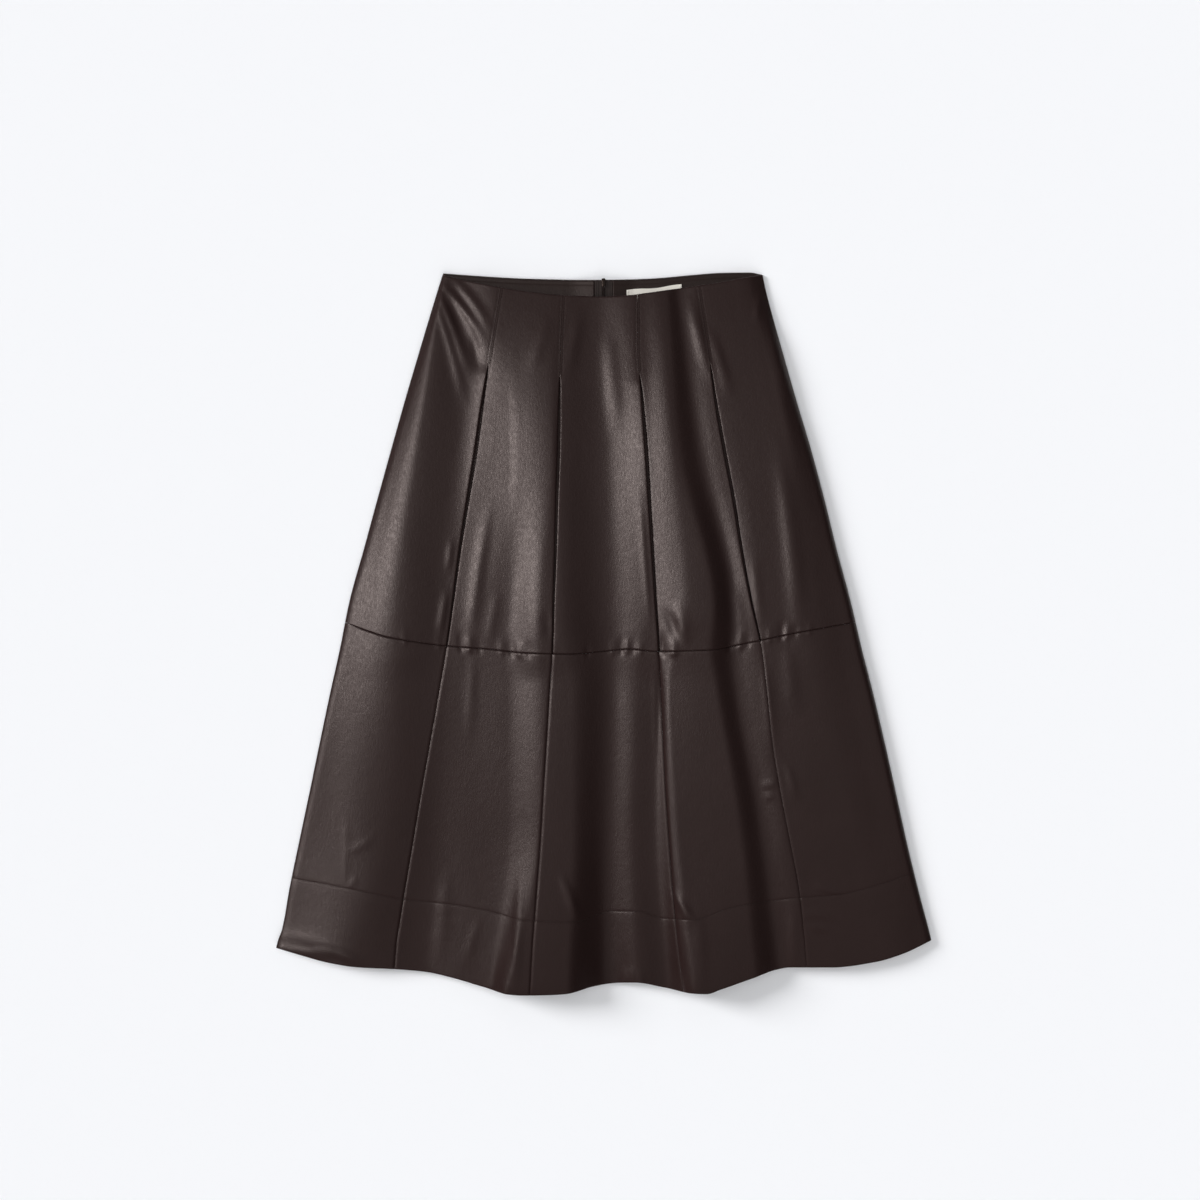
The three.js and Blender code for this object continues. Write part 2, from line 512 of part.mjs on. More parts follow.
tabGeometry.translate(0, tabAxis, outerUnder - ARCH_CLEAR / 2 - TAB / 2);
skirt.add(meshOf(solid(tabGeometry), 'zip_pull_tab', ZINC));

export default skirt;
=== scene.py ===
# A flared midi skirt in faux leather, laid flat on its back and seen from straight above.
# The cloth is drawn in millimetres, on the same lines and folds as its solids, and each mesh
# is then made in metres.

import math

import bmesh
import bpy
import numpy as np
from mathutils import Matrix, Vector


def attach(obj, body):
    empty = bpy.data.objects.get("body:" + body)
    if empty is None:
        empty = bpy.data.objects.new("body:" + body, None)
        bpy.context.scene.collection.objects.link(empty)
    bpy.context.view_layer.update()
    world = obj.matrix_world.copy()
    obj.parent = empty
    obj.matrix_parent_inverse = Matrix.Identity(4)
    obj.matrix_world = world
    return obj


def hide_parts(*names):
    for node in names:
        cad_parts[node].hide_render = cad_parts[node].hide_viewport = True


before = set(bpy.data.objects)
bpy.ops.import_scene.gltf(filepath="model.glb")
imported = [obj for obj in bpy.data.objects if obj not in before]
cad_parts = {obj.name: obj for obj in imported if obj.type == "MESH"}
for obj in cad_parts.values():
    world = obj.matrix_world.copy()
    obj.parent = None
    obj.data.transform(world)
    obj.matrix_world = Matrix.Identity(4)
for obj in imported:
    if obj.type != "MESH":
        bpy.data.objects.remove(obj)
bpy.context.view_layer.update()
rng = np.random.default_rng(7)
MM = 0.001

# Cloth and making-up, in millimetres
CLOTH = 1.2
THINNEST = 0.2
SEAM_GAP = 0.3
TURNED = 2 * CLOTH + SEAM_GAP  # cloth turned back on itself
WAIST_TURNING = 10
HEM_DEPTH = 80
LIP = 12  # turned in behind a pleat's edge
PLEAT_STITCHED = 92  # sewn shut down to here, and open below
PLEAT_OPENS = (-4, 12)
PLEAT_MOUTH = 2.4
MOUTH_OPENS = 60
MOUTH_CLOSES = (120, 300)
MOUTH_CLOSING = 0.8
UNDERLAY_WIDTH, UNDERLAY_LENGTH = 24, 325
UNDERLAY_DROP = 4.4
UNDERLAY_RIPPLE = 0.3
SEAM_CLEAR = 2
ROLL = 8  # the side edges roll down to the back over this much
WAIST_DROP, WAIST_BEND = 2.5, 90  # the front sinks towards its waist, over this depth
EDGE_UNDER = CLOTH + SEAM_GAP
EDGE_TOP = EDGE_UNDER + CLOTH
STEEPEST = 2
RIPPLE_EDGE = (4, 30)  # the ripple fades out between these, near the side edges

# Length of each gore, the heights at which its two ends are measured, and its middle
FRONT_LENGTH = {"upper": 400, "lower": 380}
FRONT_ENDS = {"upper": (395, -12), "lower": (-20, -385)}
FRONT_MIDDLE = {"upper": 200, "lower": -200}
BACK_LENGTH = {"upper": 412, "lower": 355}
BACK_ENDS = {"upper": (400, -12), "lower": (-20, -370)}

# Back of the skirt, raised over the zip's pull tab, and what lies inside its waist
LIFT = 3
LIFT_X = (10, 34)
LIFT_DEPTH = (32, 52)
BACK_ROLL, BACK_ROLL_WIDTH = 0.5, 2.5  # its sewn edges lift off the floor
BACK_HEM_SIDES = (5, 40)  # its hem's turning thins out between these, near the side edges
FACING_DEPTH = 54
FACING_LENGTH = 172
FACING_SETBACK = 1
FACING_SIDE = 4
FACING_FOLD, FACING_FOLD_RADIUS = 0.8, 1.2
FACING_RIM, FACING_RIM_RADIUS = 0.6, 1.5
FACING_STITCH_AT, FACING_STITCH_BED, FACING_STITCH_SINK = 5, 0.8, 0.35
ZIP_LENGTH = 200
ZIP_SLIT = 0.9
TAPE_HALF = 10
TAPE_INNER = 1.8
TAPE = 0.8
TAPE_SETBACK = 2
TAPE_SHORT = 10
TAPE_STITCH_AT, TAPE_STITCH_BED, TAPE_STITCH_SINK = 4.5, 0.8, 0.25
COIL_SETBACK = 2.5
COIL_SHORT = 12
LABEL_LEFT, LABEL_WIDTH = 26, 62
LABEL_TOP, LABEL_HEIGHT = 8, 30
LABEL_SLANT = (-4, 2.4)  # its line against the waist at the left end, and the rise along it
LABEL_EDGE_WAVE, LABEL_EDGE_TURN = 0.5, 9
LABEL = 0.6
LABEL_CLOTH = 0.5
LABEL_WAVE, LABEL_WAVE_RUN = 0.35, 9
LABEL_WAVE_FADES = (10, 30)

# Sewn and folded edges
DITCH = {"p1": 0.8, "p2": 0.8, "p3": 0.9, "p4": 0.45}  # how far a sewn edge dips to its seam
DITCH_WIDTH = 3.2
OPEN_DITCH = 0.35  # share of it that is left where the pleat is open
FOLD_RADIUS = 1.1  # folded edge of a pleat
SEAM_SINKS = (5, 9)  # a seam sinks in fully where the face is higher than the second
UPPER_SEAM_FALL, UPPER_SEAM_RADIUS = 0.8, 1.2
LOWER_SEAM_FALL, LOWER_SEAM_WIDTH = 0.4, 2.2
CLOSED_SEAM = 0.02  # half of what is left of a seam's gap inside the hem
SEAM_CLOSES = (-345, -310)
WAIST_FALL, HEM_FALL, TURNED_RADIUS = 0.8, 0.5, 1.5
HEM_STITCH_SINK, HEM_STITCH_BED = 0.3, 0.8
HEM_SWELL, HEM_SWELL_REACH = 0.12, (-1, 7)  # the turned hem swells inside its stitching
STITCH_ROW = 2.2  # each row of topstitching beside a pleat
STITCH_SINK, STITCH_BED = 0.15, 0.7
STITCH, STITCH_SPACE = 3.0, 0.6
THREAD = 0.22

# Upright lines of the front, from waist to hem: y, side edge, four pleats, side edge
LINES = np.array([
    (409, -181, -113, -45.5, 37.5, 105, 179),
    (390, -187, -116, -46, 38, 107.5, 183),
    (322, -207.5, -127, -48.5, 38.5, 118, 201.5),
    (266, -224, -136, -49.5, 43.5, 126, 217.5),
    (209, -240, -144, -50.5, 48, 136, 234.5),
    (153, -255.5, -153, -52.5, 51.5, 146.5, 249.5),
    (96, -271, -162, -54, 55, 155.5, 263.5),
    (40, -286.5, -169.5, -56, 58.5, 166, 278.5),
    (-17, -298, -177.5, -57.5, 62.5, 178.5, 292),
    (-62, -308, -185, -60.5, 64.5, 184, 303.5),
    (-119, -320, -195, -64, 67, 190, 317),
    (-175, -331.5, -205, -67.5, 70, 199, 329.5),
    (-232, -343.5, -214.5, -71, 74, 210, 342),
    (-288, -355, -224, -75, 78, 220.5, 355.5),
    (-331, -362.6, -230.8, -78.4, 82.1, 225.5, 366.8),
    (-345, -367.5, -233, -79.5, 83.5, 227, 370.3),
    (-409, -381.5, -238, -83, 91, 231.5, 384),
], float)[::-1]
LINE_NAMES = ("left", "p1", "p2", "p3", "p4", "right")

# Cross lines, from the left side to the right: x, y
FRONT_WAIST = [
    (-181, 406.5), (-144, 398), (-114, 392), (-84, 387.5), (-47, 383.5), (-4, 382),
    (26, 383), (47, 385.5), (88, 391.5), (131, 398), (171, 405.5), (179, 406.5),
]
BACK_WAIST = [
    (-181, 408.5), (-140, 405.5), (-85, 402.5), (-4, 401), (50, 402.5), (104, 407),
    (131, 409), (165, 409.5), (179, 407),
]
MID_SEAM = [
    (-292, 14.5), (-266, 4.5), (-243, -2.5), (-176, -12.5), (-130, -16), (-85, -20.5),
    (-40, -21.5), (5, -18), (28, -16), (60, -18.5), (118, -17), (163, -9), (208, 0.5),
    (254, 9), (285, 14.5),
]
FRONT_HEM = [
    (-369.5, -353), (-343, -360.5), (-311, -369), (-280, -374), (-232, -377), (-200, -380),
    (-169, -386.5), (-137, -395.5), (-106, -403.5), (-90, -404.5), (-58, -404), (-42, -403),
    (-11, -396), (21, -392), (37, -391.5), (68, -397), (100, -402.5), (116, -403),
    (132, -398), (163, -387.5), (195, -377), (211, -374.5), (258, -374.5), (306, -368.5),
    (337, -359.5), (371, -344),
]
HEM_STITCHING = [
    (-352, -274.5), (-292, -285), (-224, -298.5), (-171, -304), (-130, -311), (-90, -320.5),
    (-34, -322.5), (10, -311.5), (41, -311.5), (68, -319.5), (100, -320), (145, -306.5),
    (215, -296.5), (263, -293), (354, -268),
]
BACK_HEM_ENDS, BACK_HEM_HALF, BACK_HEM_DROP = (-353, -344), 369.5, 30

# Long folds of the front, at seven levels from the hem to the waist: where each crest, shelf
# or valley runs, and the height of the cloth's face on it
LEVELS = (-395, -209, -55, -20, 25, 209, 390)
FOLDS = [
    ("left", (4, 4.5, 4.7, 5, 5, 5, 5)),
    ((-296, -247, -238, -234, -232, -209, -182), (12.5, 11.5, 12.8, 14, 14.5, 13, 7.5)),  # left crest
    ((-206, -184, -174, -172, -168, -156, -170), (7.5, 6.8, 8, 8.6, 9, 9, 7.2)),  # left valley
    ((-173, -156, -150, -150, -134, -106, -122), (11.5, 7.6, 8.2, 8.8, 10.4, 13.6, 12.4)),  # shelf
    ((-128, -108, -108, -112, -108, -96, -98), (17, 10, 9.8, 10.2, 11.3, 15.7, 12)),
    ((-106, -66, -66, -70, -70, -58, -62), (27, 16.6, 15.8, 18, 20, 19.3, 12)),  # left centre crest
    ((-42, -36, -36, -44, -50, -52, -50), (25, 16, 15.2, 17.2, 18.9, 18.4, 11.8)),
    ((4, 6, 10, 10, 9, 1, -8), (4.5, 6, 7.6, 9.2, 10.2, 11.3, 10.5)),  # centre valley
    ((42, 34, 40, 42, 50, 44, 30), (13.6, 9.4, 10.3, 12.4, 14.5, 17, 13.5)),  # small crest beside it
    ((70, 57, 61, 60, 58, 51, 42), (11.2, 8.2, 10.2, 12.8, 14.6, 17, 13.3)),
    ((104, 84, 74, 82, 98, 78, 62), (26, 15.2, 14.6, 16.6, 20, 20, 14)),  # right centre crest
    ((170, 150, 124, 118, 122, 84, 70), (21, 16, 16.2, 17.4, 19.6, 19.5, 13.8)),
    ((204, 178, 150, 147, 148, 110, 85), (10, 9.3, 9.6, 9.6, 10.5, 13, 11)),  # right valley
    ((240, 202, 178, 174, 168, 127, 104), (12, 12, 12.2, 12.3, 12.8, 14, 12)),
    ((285, 240, 209, 206, 204, 182, 150), (12, 12.3, 12.6, 13, 13.2, 14, 11)),
    ((326, 276, 238, 232, 226, 208, 165), (11.5, 12.3, 13.2, 13.8, 14, 14, 10)),  # right crest
    ("right", (5.5, 8, 8.5, 8.5, 8.5, 8, 5)),
]

# Creases of the front: start, end, sideways bow, width at each end, height of the ridge
CREASES = [
    # fan from the left end of the waist
    (-172, 404, -124, 330, 5, 4, 8, 1.6),
    (-182, 396, -129, 318, 4, 3, 8, 2.0),
    (-188, 390, -150, 282, 3, 3, 8, 2.0),
    (-190, 380, -156, 258, 2, 3, 7, 1.4),
    # beside the stitched pleats
    (-26, 372, -42, 286, 0, 7, 8, 0.9),
    (-62, 356, -82, 298, 0, 6, 8, 0.7),
    (4, 345, 15, 225, 0, 8, 10, 1.3),
    (98, 380, 125, 282, -2, 6, 8, 1.4),
    (121, 344, 142, 270, 0, 5, 7, 1.2),
    (181, 396, 170, 350, 0, 4, 5, 0.8),
    (183, 362, 210, 262, 0, 5, 8, 1.3),
    (-148, 340, -140, 296, 0, 4, 6, -0.9),
    # upper tier, low down
    (-128, 150, -151, -12, -2, 6, 7, 1.3),
    (-171, 110, -176, 70, 0, 3.5, 3.5, 0.9),
    (-177, 52, -186, -4, 0, 4, 4, 1.2),
    (-119, 52, -131, -14, 0, 5, 6, 0.6),
    (168, 90, 178, 8, 0, 5, 6, 0.8),
    (196, 218, 220, -6, 3, 9, 10, 1.8),
    (70, 30, 84, -16, 2, 5, 6, -1.4),
    (84, 40, 92, -14, 0, 7, 6, 1.0),
    (147, 64, 158, -10, 0, 6, 7, 0.9),
    (-66, 30, -60, -8, 0, 6, 6, -0.8),
    # puffed edge beside the third pleat
    (40, 160, 52, 10, 0, 3.2, 2.6, 0.7),
    (57, -22, 59, -150, 0, 2.6, 2.2, 0.3),
    # lower tier
    (-147, -14, -152, -120, 0, 5, 7, 0.5),
    (180, -24, 192, -132, 0, 6, 7, 0.9),
    (206, -10, 216, -90, 0, 8, 9, 0.9),
    (22, -18, 28, -118, 0, 9, 11, 0.3),
    (78, -288, 106, -326, -2, 5, 5, 1.3),
    (107, -300, 109, -420, 0, 7, 8, 0.8),
    (-93, -262, -101, -410, 0, 5, 6, 1.1),
    (213, -300, 216, -385, 0, 6, 7, 0.9),
    (-290, -200, -291, -284, 0, 4, 4, 0.3),
    (-290, -246, -258, -229, 0, 4, 4, 0.4),
    (-287, -286, -278, -272, 0, 3, 3, 0.4),
    (-388, -352, -306, -362, 3, 13, 9, 3.0),
    (-330, -350, -268, -372, 3, 6, 6, 1.4),
    (-176, -262, -187, -380, 0, 8, 9, 0.9),
    (-140, -318, -156, -372, 0, 5, 5, 0.5),
    (-48, -268, -28, -322, 0, 5, 5, 1.3),
    # small wrinkles beside the fourth seam and at the hem of the centre valley
    (177, -170, 196, -167, 0, 4, 4, 0.7),
    (178, -184, 194, -180, 0, 4, 4, 0.6),
    (204, -142, 216, -186, 2, 4, 5, 0.7),
    (236, -281, 270, -292, 0, 4, 4, 0.8),
    (222, -314, 262, -320, 2, 5, 5, 0.6),
    (228, -329, 258, -332, 1, 4, 4, 0.5),
    (24, -374, 22, -398, 0, 3, 3, 0.7),
    (32, -372, 32, -398, 0, 3, 3, 0.7),
    (41, -376, 43, -400, 0, 3, 3, 0.6),
]

# Puckers that the tier seam draws into the cloth above it: x, length, width, height. They lean
# outwards by this share, are full from this share of their length down, and end at the seam.
PUCKER_LEAN = 0.05
PUCKER_FULL = 0.2
PUCKER_ENDS = (-9, -1)
PUCKERS = [
    (-224, 18, 2.8, 0.5), (-186, 14, 2.4, 0.5), (-161, 24, 2.8, -0.9), (-151, 20, 2.6, 1.0),
    (-140, 16, 2.4, -0.6), (-115, 18, 2.6, 0.6), (-104, 22, 2.6, -0.8), (-95, 16, 2.3, 0.8),
    (-84, 20, 2.6, -0.8), (-18, 14, 2.4, -0.5), (10, 16, 2.4, 0.6), (20, 20, 2.4, -0.9),
    (26, 16, 2.1, 0.8), (33, 20, 2.3, -0.8), (42, 14, 2.1, 0.5), (66, 26, 3.8, -1.2),
    (79, 28, 4.0, 1.2), (142, 20, 2.8, -0.8), (154, 22, 2.8, 1.0), (163, 14, 2.3, -0.6),
    (187, 16, 2.4, 0.6), (200, 22, 2.8, -0.9), (207, 18, 2.4, 0.9), (216, 14, 2.3, -0.6),
    (232, 14, 2.4, 0.5),
]

# Open pleats: at four heights, how far the left edge stands up, and how far the right edge
# tucks down beside it
PLEAT_LEVELS = (-17, 96, 209, 300)
PLEAT_EDGES = {
    "p1": ((0.3, 0.8, 2.2, 1.6), (0.1, 0.4, 0.8, 0.4)),
    "p2": ((0.1, 0.2, 0.2, 0.2), (0.3, 0.6, 0.6, 0.3)),
    "p3": ((0.3, 1.0, 2.6, 1.3), (0.8, 1.7, 1.4, 0.6)),
    "p4": ((0.6, 1.4, 1.2, 0.8), (0.5, 1.5, 0.7, 0.3)),
}
STAND, TUCK = 24, 18  # how far in from the edge each of them reaches


def smooth(xs, ys, x):
    """A curve through (xs, ys) that never overshoots, straight beyond its ends."""
    x = np.atleast_1d(np.asarray(x, float))
    shape, x = x.shape, x.ravel()
    xs = np.broadcast_to(np.reshape(np.asarray(xs, float), (len(xs), -1)), (len(xs), x.size))
    ys = np.broadcast_to(np.reshape(np.asarray(ys, float), (len(ys), -1)), (len(ys), x.size))
    slopes = np.diff(ys, axis=0) / np.diff(xs, axis=0)
    before, after = slopes[:-1], slopes[1:]
    bends = before * after
    level = np.where(bends > 0, before + after, 1)
    inner = np.where(bends > 0, 2 * bends / level, 0)
    tangents = np.concatenate([slopes[:1], inner, slopes[-1:]])
    i = np.clip((x > xs).sum(0) - 1, 0, len(xs) - 2)
    pick = lambda a, k: np.take_along_axis(a, k[None], 0)[0]
    x0, y0, t0 = pick(xs, i), pick(ys, i), pick(tangents, i)
    x1, y1, t1 = pick(xs, i + 1), pick(ys, i + 1), pick(tangents, i + 1)
    run = x1 - x0
    t = (x - x0) / run
    far = t * t * (3 - 2 * t)
    rise = t * (1 - t) ** 2 * t0 - t * t * (1 - t) * t1
    y = y0 * (1 - far) + y1 * far + rise * run
    y = np.where(t < 0, y0 + t0 * (x - x0), y)
    y = np.where(t > 1, y1 + t1 * (x - x1), y)
    return y.reshape(shape)


def ramp(d, start, end):
    return np.clip((d - start) / (end - start), 0, 1)


def soft(d, start, end):
    t = ramp(d, start, end)
    return t * t * (3 - 2 * t)


def rounded(d, radius, fall):
    """How far a rounded edge has fallen at this distance in from it."""
    return fall * (1 - np.sqrt(1 - (1 - ramp(d, 0, radius)) ** 2))


def eased(d, reach, most):
    """A dip or rise that is most at an edge and gone at this distance in from it."""
    return most * (1 - ramp(d, 0, reach)) ** 2


def bell(d, at, width, height):
    """A soft ridge or groove that runs at this distance."""
    return height * np.exp(-((d - at) / width) ** 2)


def across(points):
    xs, ys = zip(*points)
    return lambda x: smooth(xs, ys, x)


def upright(name):
    column = LINES[:, 1 + LINE_NAMES.index(name)]
    return lambda y: smooth(LINES[:, 0], column, y)


LINE = {name: upright(name) for name in LINE_NAMES}
front_waist, back_waist = across(FRONT_WAIST), across(BACK_WAIST)
mid_seam, front_hem, hem_stitching = across(MID_SEAM), across(FRONT_HEM), across(HEM_STITCHING)


def straight(x):
    """An upright line at this x."""
    return lambda y: np.full_like(np.asarray(y, float), x)


def above_seam(x):
    return mid_seam(x) + SEAM_GAP / 2


def below_seam(x):
    return mid_seam(x) - SEAM_GAP / 2


def from_tier_seam(x, y):
    """How far a point is from the sewn edge at the tier seam."""
    return np.abs(y - mid_seam(x)) - SEAM_GAP / 2


def from_sides(x, y):
    """How far inside the skirt's two side edges a point is."""
    return np.minimum(x - LINE["left"](y), LINE["right"](y) - x)


def hem_depth(x):
    """The hem's own depth at x, as a share of the depth it was cut to."""
    return (hem_stitching(x) - front_hem(x)) / HEM_DEPTH


def back_hem(x):
    left, right = BACK_HEM_ENDS
    share = x / BACK_HEM_HALF
    return (left + right) / 2 + (right - left) / 2 * share - BACK_HEM_DROP * (1 - share * share)


# Slow waves and dents that no cloth is without, as a sum of seeded sines
WAVES = [
    (rng.uniform(0.9, 1.3) / length, rng.uniform(-0.25, 0.25) / length, rng.uniform(0, 6.28), size)
    for length, size in ((16, 0.10), (11, 0.06), (8, 0.04), (21, 0.12), (34, 0.20), (47, 0.25))
]


def ripple(x, y):
    # The waves wander a few millimetres sideways on their way down
    drift = 4 * np.sin(y / 53) + 3 * np.sin(y / 29 + x / 60)
    return sum(size * np.sin(kx * (x + drift) + ky * y + at) for kx, ky, at, size in WAVES)


def crease(x, y, x0, y0, x1, y1, bow, w0, w1, height):
    """A soft ridge, or a trough where height is negative, that fades at both ends."""
    length = math.hypot(x1 - x0, y1 - y0)
    ux, uy = (x1 - x0) / length, (y1 - y0) / length
    t = ((x - x0) * ux + (y - y0) * uy) / length
    side = (x - x0) * uy - (y - y0) * ux + bow * 4 * t * (1 - t)
    width = w0 + (w1 - w0) * np.clip(t, 0, 1)
    fade = soft(t, -0.1, 0.4) * soft(1.1 - t, 0, 0.5)
    return height * fade * np.exp(-(side / width) ** 2)


def front_relief(x, y):
    """Ripple, creases and puckers, as a height over the long folds."""
    total = ripple(x, y) * soft(from_sides(x, y), *RIPPLE_EDGE)
    for row in CREASES:
        total = total + crease(x, y, *row)
    above = y - mid_seam(x)
    for at, length, width, height in PUCKERS:
        lean = at + above * PUCKER_LEAN * math.copysign(1, at)
        rise = bell(x, lean, width, height) * soft(-above, -length, -PUCKER_FULL * length)
        total = total + rise * soft(above, *PUCKER_ENDS)
    return total


def front_height(x, y):
    """Height of the cloth's face on the long folds alone."""
    level = np.clip(y, LEVELS[0], LEVELS[-1])
    places = [LINE[run](y) if isinstance(run, str) else smooth(LEVELS, run, y) for run, rise in FOLDS]
    heights = [smooth(LEVELS, rise, level) for run, rise in FOLDS]
    z = smooth(np.array(places), np.array(heights), x)
    z = z - eased(front_waist(x) - y, WAIST_BEND, WAIST_DROP)
    return z - rounded(from_sides(x, y), ROLL, z - EDGE_TOP)


def front_face(x, y):
    return front_height(x, y) + front_relief(x, y)


def steepness(x, y):
    """How much thicker sloping cloth is when it is measured straight down."""
    slope_x = (front_height(x + 1, y) - front_height(x - 1, y)) / 2
    slope_y = (front_height(x, y + 1) - front_height(x, y - 1)) / 2
    return np.minimum(STEEPEST, np.sqrt(1 + slope_x**2 + slope_y**2))


def back_lift(x, y):
    side = 1 - ramp(np.abs(x), *LIFT_X)
    return LIFT * side * (1 - ramp(back_waist(x) - y, *LIFT_DEPTH))


# Walls of cloth

CLOTH_SMOOTH = 50  # degrees, up to which the surface shades as one
GRID_ROUNDS = 6


def placed(name, data):
    """A new object in the scene."""
    obj = bpy.data.objects.new(name, data)
    bpy.context.scene.collection.objects.link(obj)
    return obj


def mesh_object(name, points, faces, material, body="skirt"):
    """Points in millimetres become a mesh in metres that rides on a body."""
    mesh = bpy.data.meshes.new(name)
    mesh.from_pydata((np.asarray(points) * MM).tolist(), [], faces)
    mesh.shade_smooth()
    mesh.set_sharp_from_angle(angle=math.radians(CLOTH_SMOOTH))
    mesh.materials.append(material)
    obj = placed(name, mesh)
    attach(obj, body)
    return obj


def unstretched(x):
    return 1


def grid_points(bounds, columns, rows, stretch):
    """Where each row meets each column. Both are a share of the way across, a distance from
    the first edge and a distance back from the last, which the lower edge may stretch. The
    two depend on each other, so they are worked out in turn until they settle."""
    left, right, upper, lower = bounds
    col_share, from_left, from_right = np.array(columns, float).T
    row_share, from_upper, from_lower = np.array(rows, float).T[:, :, None]
    x = np.zeros((len(rows), len(columns)))
    y = np.zeros_like(x)
    for _ in range(GRID_ROUNDS):
        top_y, low_y = upper(x), lower(x)
        y = top_y + row_share * (low_y - top_y) - from_upper + from_lower * stretch(x)
        left_x, right_x = left(y), right(y)
        x = left_x + col_share * (right_x - left_x) + from_left - from_right
    return x, y


def wall(name, bounds, columns, rows, top, under, material, stretch=unstretched):
    """A closed layer of cloth over a grid, which stands for the node of the same name."""
    x, y = grid_points(bounds, columns, rows, stretch)
    z_top = top(x, y)
    z_under = np.minimum(under(x, y), z_top - THINNEST)
    tall, wide = x.shape
    layer = [np.stack([x, y, z], -1).reshape(-1, 3) for z in (z_top, z_under)]
    at = np.arange(2 * tall * wide).reshape(2, tall, wide)

    def quads(a, b, c, d):
        return np.stack([a, b, c, d], -1).reshape(-1, 4)

    t, u = at
    faces = np.concatenate([
        quads(t[:-1, :-1], t[1:, :-1], t[1:, 1:], t[:-1, 1:]),
        quads(u[:-1, :-1], u[:-1, 1:], u[1:, 1:], u[1:, :-1]),
        quads(t[0, :-1], t[0, 1:], u[0, 1:], u[0, :-1]),
        quads(t[-1, 1:], t[-1, :-1], u[-1, :-1], u[-1, 1:]),
        quads(t[1:, 0], t[:-1, 0], u[:-1, 0], u[1:, 0]),
        quads(t[:-1, -1], t[1:, -1], u[1:, -1], u[:-1, -1]),
    ])
    obj = mesh_object(name, np.concatenate(layer), faces.tolist(), material)
    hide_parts(name)
    return obj


def first(distances):
    return [(0, d, 0) for d in distances]


def last(distances):
    return [(1, 0, d) for d in reversed(distances)]


def spaced(start, end, length, step):
    """Evenly between two distances from the ends of a piece of about this length."""
    count = max(2, round((length - start - end) / step))
    return [(i / count, start * (1 - i / count), end * i / count) for i in range(1, count)]


def steps(near_first, near_last, length, step):
    """Close steps beside both edges of a piece, with even ones between them."""
    return first(near_first) + spaced(near_first[-1], near_last[-1], length, step) + last(near_last)


def width_at(bounds, y):
    left, right = bounds[:2]
    y = np.array([y], float)
    return float((right(y) - left(y))[0])


# Materials


def linear(colour):
    """sRGB hex to linear RGBA."""
    value = [int(colour[i:i + 2], 16) / 255 for i in (1, 3, 5)]
    return [v / 12.92 if v <= 0.04045 else ((v + 0.055) / 1.055) ** 2.4 for v in value] + [1]


def add(tree, kind, settings=None, links=None):
    """One node with its settings and its input links: input name or number to output socket."""
    node = tree.nodes.new(kind)
    for key, value in (settings or {}).items():
        if isinstance(key, str) and key.islower():
            setattr(node, key, value)
        else:
            node.inputs[key].default_value = value
    for key, source in (links or {}).items():
        tree.links.new(source, node.inputs[key])
    return node


def material(name):
    made = bpy.data.materials.new(name)
    made.use_nodes = True
    made.node_tree.nodes.clear()
    return made, made.node_tree


def per_metre(millimetres):
    """Texture scale for a pattern that repeats at this size."""
    return 1 / (millimetres * MM)


def waves_per_metre(millimetres):
    """The same for a wave pattern, which counts in radians."""
    return per_metre(millimetres) / (2 * math.pi)


def faux_leather(name, colour, light, roughness):
    """Polyurethane-coated knit, embossed and satin: dark and even, with broad soft highlights
    that a fine upright grain breaks into streaks."""
    made, tree = material(name)
    place = add(tree, "ShaderNodeTexCoord").outputs["Object"]
    # The grain is about 0.4 by 1.2 mm. It is drawn 1.8 by 5 mm, or it wouldn't show.
    grain_size = (per_metre(1.8), per_metre(5), per_metre(4))
    grain = add(tree, "ShaderNodeMapping", {"Scale": grain_size}, {"Vector": place})
    streaks = add(tree, "ShaderNodeTexNoise",
                  {"Scale": 1.0, "Detail": 4.0, "Roughness": 0.6, "Distortion": 0.4},
                  {"Vector": grain.outputs["Vector"]})
    # Soft dents from handling, 14 mm
    dents = add(tree, "ShaderNodeTexNoise", {"Scale": per_metre(14), "Detail": 3.0, "Roughness": 0.55},
                {"Vector": place})
    # Embossed pebble, 0.9 mm
    pebble = add(tree, "ShaderNodeTexVoronoi",
                 {"feature": "SMOOTH_F1", "Scale": per_metre(0.9), "Smoothness": 0.6},
                 {"Vector": place})
    # Slow change in the coating, 60 mm
    patches = add(tree, "ShaderNodeTexNoise", {"Scale": per_metre(60), "Detail": 3.0},
                  {"Vector": place})
    tint = add(tree, "ShaderNodeMix", {"data_type": "RGBA", 6: linear(colour), 7: linear(light)},
               {0: patches.outputs["Fac"]})
    gloss = add(tree, "ShaderNodeMapRange",
                {"From Min": 0.3, "From Max": 0.7, "To Min": roughness - 0.05, "To Max": roughness + 0.06},
                {"Value": streaks.outputs["Fac"]})
    bump_dents = add(tree, "ShaderNodeBump", {"Strength": 0.6, "Distance": 0.3 * MM},
                     {"Height": dents.outputs["Fac"]})
    bump_pebble = add(tree, "ShaderNodeBump", {"Strength": 0.12, "Distance": 0.1 * MM},
                      {"Height": pebble.outputs["Distance"], "Normal": bump_dents.outputs["Normal"]})
    bump = add(tree, "ShaderNodeBump", {"Strength": 0.36, "Distance": 0.4 * MM},
               {"Height": streaks.outputs["Fac"], "Normal": bump_pebble.outputs["Normal"]})
    # The coating's highlights are slightly warm
    shader = add(tree, "ShaderNodeBsdfPrincipled", {"IOR": 1.5, "Specular Tint": linear("#ffefea")},
                 {"Base Color": tint.outputs[2], "Roughness": gloss.outputs["Result"],
                  "Normal": bump.outputs["Normal"]})
    add(tree, "ShaderNodeOutputMaterial", {}, {"Surface": shader.outputs["BSDF"]})
    return made


